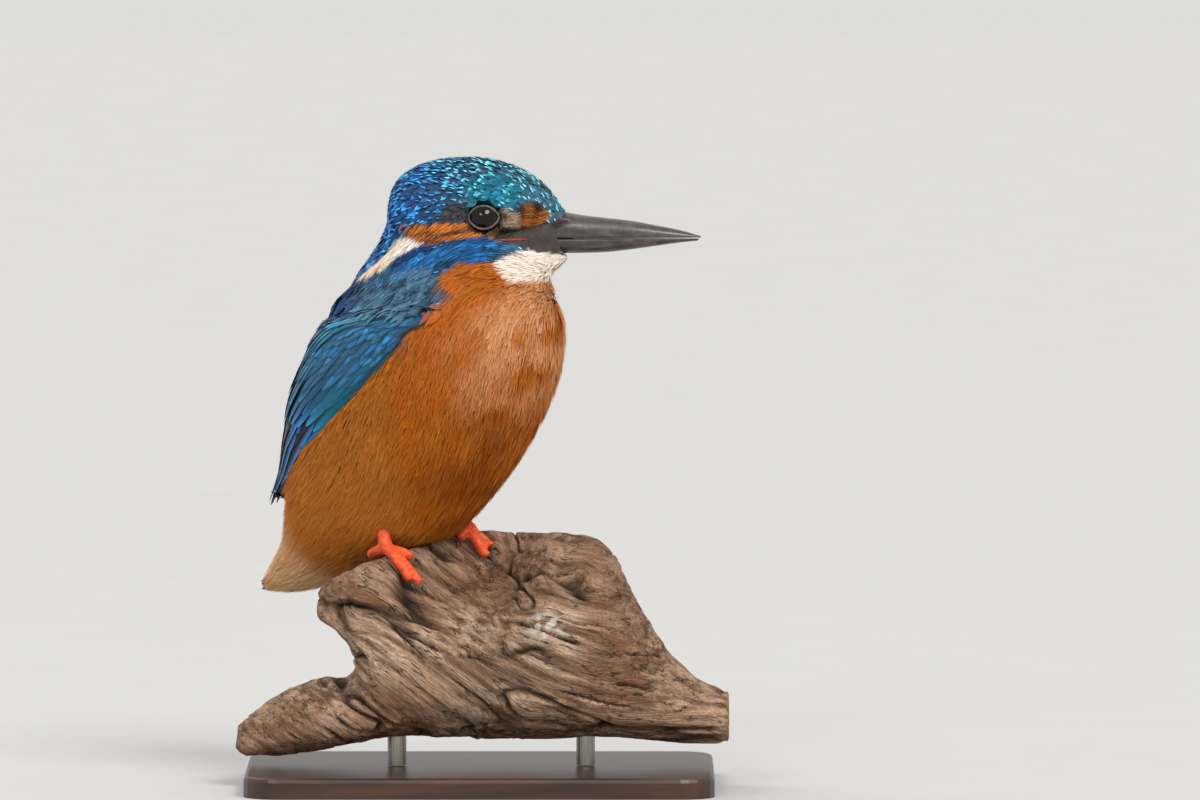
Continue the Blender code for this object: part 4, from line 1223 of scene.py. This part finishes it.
def weathered_perch():
    """The driftwood perch: ridges and cracks along the grain, cut square at its right end."""
    points, quads = remeshed(node_solid(["perch"]), 0.55, 2)
    normals = normals_of(points, quads)
    grain = grain_place(points)
    long_grain = grain * (0.09, 1.0, 0.55)
    ridges = noise(long_grain, 3.2, 82) * 0.9 + noise(long_grain, 1.3, 83) * 0.5
    cracks = smooth_step(0.075, 0.0, np.abs(noise(grain * (0.045, 0.55, 0.35), 2.6, 84) - 0.5))
    cracks *= smooth_step(0.42, 0.6, noise(points, 11.0, 85))
    lumps = noise(points, 9.0, 86) - 0.5
    sawn = smooth_step(65.0, 65.8, points[:, 0])
    deep = 0.9 * (ridges - 1.0) + 0.8 * lumps - 2.2 * cracks
    deep = np.clip(deep, -3.0, 0.35) * (1.0 - sawn)
    points = points + normals * deep[:, None]
    tone = noise(long_grain, 2.0, 87) * 0.5 + noise(long_grain, 0.9, 88) * 0.5
    colour = mix(paint("76573f"), paint("c29d80"), smooth_step(0.25, 0.75, tone))
    colour = mix(colour, paint("d8bda4"), 0.6 * smooth_step(0.5, 0.8, noise(points, 14.0, 89)) * smooth_step(0.4, 0.7, tone))
    colour = mix(colour, paint("8a5c40"), 0.4 * smooth_step(0.5, 0.75, noise(points, 18.0, 90)))
    # The wood is darker in the cracks and in the grooves between the ridges: painted shade.
    colour = colour * (1.0 - 0.78 * cracks - 0.2 * smooth_step(0.9, 0.5, ridges))[:, None]
    rings = np.abs(np.sin(np.hypot(points[:, 1] + 3.0, points[:, 2] - 20.0) * 1.9 + 2.0 * noise(points, 6.0, 91)))
    face = mix(paint("b08c66"), paint("7d5c40"), smooth_step(0.5, 1.0, rings))
    colour = mix(colour, face, sawn)
    splash = np.exp(-((points[:, 0] - 17.5) / 3.4) ** 2 - ((points[:, 2] - 44.5) / 2.6) ** 2)
    splash *= smooth_step(0.45, 0.62, noise(points, 1.4, 92)) * (normals[:, 1] < 0.2)
    colour = mix(colour, paint("e4dfd6"), np.clip(1.6 * splash, 0.0, 0.9))
    obj = make_mesh("driftwood", points, quads, colour)
    layer = obj.data.attributes.new("Grain", "FLOAT_VECTOR", "POINT")
    layer.data.foreach_set("vector", grain.astype(np.float32).ravel())
    return obj


# ---------------------------------------------------------------- materials


class Shader:
    """A new material with its principled shader, and short ways to add nodes to it."""

    def __init__(self, name, roughness=0.5, **settings):
        self.material = bpy.data.materials.new(name)
        self.material.use_nodes = True
        self.nodes = self.material.node_tree.nodes
        self.links = self.material.node_tree.links
        self.surface = self.nodes["Principled BSDF"]
        self.surface.inputs["Roughness"].default_value = roughness
        for socket, value in settings.items():
            self.surface.inputs[socket.replace("_", " ")].default_value = value

    def add(self, kind, **inputs):
        node = self.nodes.new(kind)
        for socket, value in inputs.items():
            target = node.inputs[socket.replace("_", " ")]
            if isinstance(value, bpy.types.NodeSocket):
                self.links.new(value, target)
            else:
                target.default_value = value
        return node

    def attribute(self, name):
        node = self.nodes.new("ShaderNodeAttribute")
        node.attribute_name = name
        return node

    def stretched(self, vector, scale):
        node = self.add("ShaderNodeMapping", Vector=vector, Scale=scale)
        return node.outputs["Vector"]

    def multiplied(self, colour, value, low, high):
        """The colour times value, which is first taken from 0..1 to low..high."""
        spread = self.add("ShaderNodeMapRange", Value=value, From_Min=0.32, From_Max=0.68, To_Min=low, To_Max=high)
        mixer = self.nodes.new("ShaderNodeMix")
        mixer.data_type, mixer.blend_type = "RGBA", "MULTIPLY"
        mixer.inputs[0].default_value = 1.0
        self.links.new(colour, mixer.inputs[6])
        self.links.new(spread.outputs["Result"], mixer.inputs[7])
        return mixer.outputs[2]

    def finish(self, colour, height=None, strength=0.3, distance=0.0003):
        self.links.new(colour, self.surface.inputs["Base Color"])
        if height is not None:
            bump = self.add("ShaderNodeBump", Height=height, Strength=strength, Distance=distance)
            self.links.new(bump.outputs["Normal"], self.surface.inputs["Normal"])
        return self.material


def feather_material(name, roughness, barbs, depth):
    """Barbs run out from the midline: barbs is how many there are in a millimetre."""
    shader = Shader(name, roughness, Specular_IOR_Level=0.2)
    vane = shader.nodes.new("ShaderNodeUVMap")
    vane.uv_map = "Vane"
    lines = shader.add("ShaderNodeTexNoise", Vector=shader.stretched(vane.outputs["UV"], (0.5, barbs, 1.0)),
                       Scale=1.0, Detail=2.0)
    colour = shader.multiplied(shader.attribute("Colour").outputs["Color"], lines.outputs["Fac"], 1.0 - depth, 1.0 + depth)
    return shader.finish(colour, lines.outputs["Fac"], 0.25, 0.0002)


def coloured_material(name, roughness, size, low, high, bump, distance, **settings):
    """A material that takes the mesh's own colours, mottled by noise of this size in mm."""
    shader = Shader(name, roughness, **settings)
    place = shader.nodes.new("ShaderNodeTexCoord")
    speckle = shader.add("ShaderNodeTexNoise", Vector=place.outputs["Object"], Scale=1.0 / (size * MM), Detail=4.0)
    colour = shader.multiplied(shader.attribute("Colour").outputs["Color"], speckle.outputs["Fac"], low, high)
    return shader.finish(colour, speckle.outputs["Fac"], bump, distance)


def driftwood_material():
    shader = Shader("driftwood", 0.85, Specular_IOR_Level=0.25)
    grain = shader.attribute("Grain").outputs["Vector"]
    fibres = shader.add("ShaderNodeTexNoise", Vector=shader.stretched(grain, (0.12, 2.6, 1.6)), Scale=1.0, Detail=6.0,
                        Roughness=0.65)
    checks = shader.add("ShaderNodeTexNoise", Vector=shader.stretched(grain, (0.9, 1.4, 1.2)), Scale=1.0, Detail=5.0)
    colour = shader.multiplied(shader.attribute("Colour").outputs["Color"], fibres.outputs["Fac"], 0.55, 1.45)
    colour = shader.multiplied(colour, checks.outputs["Fac"], 0.8, 1.2)
    # Fine splits along the grain are drawn as dark lines with no depth of their own: painted shade of cracks.
    splits = shader.add("ShaderNodeTexNoise", Vector=shader.stretched(grain, (0.035, 0.33, 0.2)), Scale=1.0, Detail=3.0)
    offset = shader.add("ShaderNodeMapRange", Value=splits.outputs["Fac"], From_Min=0.5, From_Max=0.52, To_Min=0.0,
                        To_Max=1.0)
    offset.clamp = False
    wide = shader.nodes.new("ShaderNodeMath")
    wide.operation = "ABSOLUTE"
    shader.links.new(offset.outputs["Result"], wide.inputs[0])
    opened = shader.add("ShaderNodeMapRange", Value=wide.outputs[0], From_Min=0.15, From_Max=0.9, To_Min=0.32, To_Max=0.68)
    colour = shader.multiplied(colour, opened.outputs["Result"], 0.22, 1.0)
    total = shader.nodes.new("ShaderNodeMath")
    total.operation = "MULTIPLY_ADD"
    shader.links.new(checks.outputs["Fac"], total.inputs[0])
    total.inputs[1].default_value = 0.4
    shader.links.new(fibres.outputs["Fac"], total.inputs[2])
    return shader.finish(colour, total.outputs[0], 0.9, 0.0012)


def plain_material(name, low, high, size, stretch, roughness, bump=0.15, metallic=0.0):
    """Two tones in stretched noise: stained wood, brushed metal, the floor."""
    shader = Shader(name, roughness, Metallic=metallic)
    place = shader.nodes.new("ShaderNodeTexCoord")
    grain = shader.add("ShaderNodeTexNoise", Vector=shader.stretched(place.outputs["Object"], stretch),
                       Scale=1.0 / (size * MM), Detail=6.0)
    ramp = shader.add("ShaderNodeValToRGB", Fac=grain.outputs["Fac"])
    ramp.color_ramp.elements[0].position, ramp.color_ramp.elements[1].position = 0.3, 0.7
    ramp.color_ramp.elements[0].color = (*paint(low), 1.0)
    ramp.color_ramp.elements[1].color = (*paint(high), 1.0)
    return shader.finish(ramp.outputs["Color"], grain.outputs["Fac"], bump, 0.0002)


# ---------------------------------------------------------------- the stage


CAMERA_TILT = radians(3.5)
CAMERA_DISTANCE = 3.5
VIEW_WIDTH = 0.318
VIEW_CENTRE = (0.0318, 0.1023)


def camera():
    data = bpy.data.cameras.new("camera")
    data.sensor_width = 36.0
    data.lens = 36.0 * CAMERA_DISTANCE / VIEW_WIDTH
    obj = bpy.data.objects.new("camera", data)
    bpy.context.collection.objects.link(obj)
    target = Vector((VIEW_CENTRE[0], 0.0, VIEW_CENTRE[1] / cos(CAMERA_TILT)))
    obj.location = target + Vector((0.0, -cos(CAMERA_TILT), sin(CAMERA_TILT))) * CAMERA_DISTANCE
    obj.rotation_euler = (pi / 2 - CAMERA_TILT, 0.0, 0.0)
    bpy.context.scene.camera = obj


def lights():
    """Broad soft daylight from the right and from behind on the left, and a window that the eye catches."""
    for name, kind, place, power, softness in (("key", "SUN", (0.9, -1.5, 1.7), 1.8, radians(24.0)),
                                               ("rim", "SUN", (-1.1, 0.9, 1.6), 0.8, radians(30.0)),
                                               ("window", "AREA", (-0.7, -1.6, 1.1), 7.0, 0.5)):
        data = bpy.data.lights.new(name, kind)
        data.energy = power
        if kind == "SUN":
            data.angle = softness
        else:
            data.size = softness
        obj = bpy.data.objects.new(name, data)
        bpy.context.collection.objects.link(obj)
        obj.location = place
        obj.rotation_euler = (Vector((0.0, 0.0, 0.1)) - Vector(place)).to_track_quat("-Z", "Y").to_euler()
    world = bpy.data.worlds.new("studio")
    world.use_nodes = True
    world.node_tree.nodes["Background"].inputs["Color"].default_value = (0.90, 0.90, 0.89, 1.0)
    world.node_tree.nodes["Background"].inputs["Strength"].default_value = 0.8
    bpy.context.scene.world = world
    bpy.context.scene.view_settings.view_transform = "Standard"


def floor():
    ground = bmesh.new()
    bmesh.ops.create_circle(ground, cap_ends=True, segments=64, radius=6.0)
    mesh = bpy.data.meshes.new("floor")
    ground.to_mesh(mesh)
    ground.free()
    obj = bpy.data.objects.new("floor", mesh)
    bpy.context.collection.objects.link(obj)
    mesh.materials.append(plain_material("floor", "c3c2c0", "c5c4c2", 40.0, (1.0, 1.0, 1.0), 0.8, 0.02))


# ---------------------------------------------------------------- putting it together


def settle(piece, material, replaces=()):
    """Gives a piece its material, ties it to the body, and hides the nodes that it stands for."""
    piece.data.materials.clear()
    piece.data.materials.append(material)
    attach(piece, "root")
    if replaces:
        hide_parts(*replaces)


def skin_piece(skin):
    """The one skin with its lids and bare feet, coloured by the same markings as the coat."""
    lids, lid_faces = lid_rings()
    feet, feet_quads, feet_colour = scaly_feet()
    # The skin takes the markings darkened to seven tenths: painted shade where it shows between the feathers.
    colour = mix(markings(skin.points, 0.4) * 0.7, PAINT["skin"], 0.1)
    lid_colour = np.broadcast_to(paint("5b5650"), lids.shape) * (0.7 + 0.6 * noise(lids, 0.8, 95))[:, None]
    ridges, ridge_faces = gape_ridges(skin)
    ridge_colour = np.broadcast_to(PAINT["gape"], ridges.shape) * (0.6 + 0.8 * noise(ridges, 0.9, 96))[:, None]
    slits, slit_faces = nostrils(skin)
    slit_colour = np.broadcast_to(paint("4a1711"), slits.shape) * (0.7 + 0.6 * noise(slits, 0.8, 97))[:, None]
    points = np.concatenate([skin.points, lids, ridges, slits, feet])
    starts = np.cumsum([0, len(skin.points), len(lids), len(ridges), len(slits)])
    parts = [skin.quads, lid_faces, ridge_faces, slit_faces, feet_quads]
    quads = np.concatenate([part + start for part, start in zip(parts, starts)])
    colours = np.concatenate([colour, lid_colour, ridge_colour, slit_colour, feet_colour])
    return make_mesh("skin", points, quads, colours)


def coat(skin):
    """Every coat piece with its record slot."""
    face = region_picker(["malar"], 0.45)
    return [
        (crown_coat(skin), "plumage_crown", "scales"),
        (crown_dashes(skin), "plumage_crown", "scales"),
        (leaf_coat(skin, "breast_leaves", under_picker(True), 1.35, 5.0, 2.0, 41), "plumage_body", "down"),
        (leaf_coat(skin, "belly_leaves", under_picker(False), 1.6, 7.0, 2.4, 42), "plumage_body", "down"),
        (strand_coat(skin, "breast_hair", under_picker(True), 0.56, 4.6, 0.2, 43, (0.35, 0.95), 0.12, 0.11,
                     (PAINT["flank"], 2.2, 0.35)), "plumage_body", "down"),
        (strand_coat(skin, "belly_hair", under_picker(False), 0.62, 7.5, 0.22, 46, (0.3, 0.95), 0.11, 0.11,
                     (PAINT["flank"], 3.5, 0.35)), "plumage_body", "down"),
        (leaf_coat(skin, "back_feathers", region_picker(["back", "rump"], 0.4), 1.5, 5.5, 2.6, 49, (0.1, 0.8)),
         "plumage_body", "scales"),
        (leaf_coat(skin, "shoulder_leaves", region_picker(["shoulder"], 0.4), 1.2, 3.6, 1.5, 52, (0.1, 0.7)),
         "plumage_collar", "scales"),
        (leaf_coat(skin, "shoulder_overlap", over_wing_top, 1.4, 8.0, 2.0, 74, (0.3, 1.1), 0.2), "plumage_collar",
         "scales"),
        (strand_coat(skin, "shoulder_hair", region_picker(["shoulder"], 0.4), 0.6, 3.0, 0.32, 55, (0.4, 0.95), 0.3, 0.35),
         "plumage_collar", "scales"),
        (strand_coat(skin, "malar_strands", face, 0.45, 4.6, 0.42, 58, (0.3, 0.95), 0.08, 0.22,
                     (PAINT["malar_bright"], 1.1, 0.8), 0.2), "plumage_crown", "scales"),
        (strand_coat(skin, "ear_strands", region_picker(["ear"], 0.4), 0.42, 3.4, 0.36, 61, (0.35, 1.0), 0.07, 0.25,
                     None, 0.2), "plumage_crown", "down"),
        (strand_coat(skin, "white_strands", region_picker(["neck_patch"], 0.35), 0.45, 5.0, 0.5, 64, (0.4, 1.1),
                     0.08, 0.06, None, 0.2), "plumage_collar", "down"),
        (strand_coat(skin, "throat_strands", region_picker(["throat"], 0.4), 0.42, 4.0, 0.42, 67, (0.4, 1.1), 0.1,
                     0.07, None, 0.15), "plumage_collar", "down"),
        (strand_coat(skin, "lore_strands", region_picker(["lores", "pale_tuft", "loral_line"], 0.4), 0.36, 1.9, 0.2,
                     70, (0.4, 1.4), 0.3, 0.25, None, 0.1), "plumage_crown", "down"),
        (flank_overlap(skin), "plumage_body", "down"),
        (tail_feathers(skin), "plumage_tail", "vanes"),
    ]


def main():
    camera()
    lights()
    floor()
    skin = Skin()
    materials = {
        "scales": feather_material("blue_plumage", 0.55, 3.0, 0.16),
        "down": feather_material("soft_plumage", 0.75, 1.2, 0.08),
        "vanes": feather_material("vane_plumage", 0.5, 2.2, 0.16),
    }
    skin_material = coloured_material("skin", 0.6, 0.9, 0.75, 1.25, 0.4, 0.0002, Specular_IOR_Level=0.4)
    settle(skin_piece(skin), skin_material, FLESH + ["leg_left", "leg_right"])
    for piece, slot, material in coat(skin):
        settle(piece, materials[material])
    for side in (-1, 1):
        for piece in wing(skin, side):
            settle(piece, materials["vanes"])
        name = "eye_right" if side < 0 else "eye_left"
        gloss = coloured_material(name, 0.04, 0.6, 0.9, 1.1, 0.0, 0.0001, Specular_IOR_Level=0.3)
        settle(eye_piece(side), gloss, [name])
    horn = coloured_material("bill_horn", 0.34, 1.1, 0.75, 1.25, 0.25, 0.0002, Coat_Weight=0.15)
    settle(bill_half(True), horn, ["bill_upper"])
    settle(bill_half(False), horn, ["bill_lower"])
    claw_names = [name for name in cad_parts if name.startswith("claw_")]
    claw_material = plain_material("claw_horn", "14110f", "3a322c", 0.8, (1.0, 1.0, 1.0), 0.25)
    settle(refined_claws(claw_names), claw_material, claw_names)
    settle(weathered_perch(), driftwood_material(), ["perch"])
    stand = plain_material("stand_wood", "2a1a12", "4a2f1f", 3.0, (0.08, 1.0, 1.0), 0.35)
    metal = plain_material("stand_metal", "8f8a80", "b9b4a8", 0.5, (1.0, 1.0, 0.05), 0.3, 0.1, 1.0)
    for name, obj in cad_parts.items():
        if name.startswith("stand_"):
            for slot in obj.material_slots:
                slot.material = stand if name == "stand_base" else metal


main()
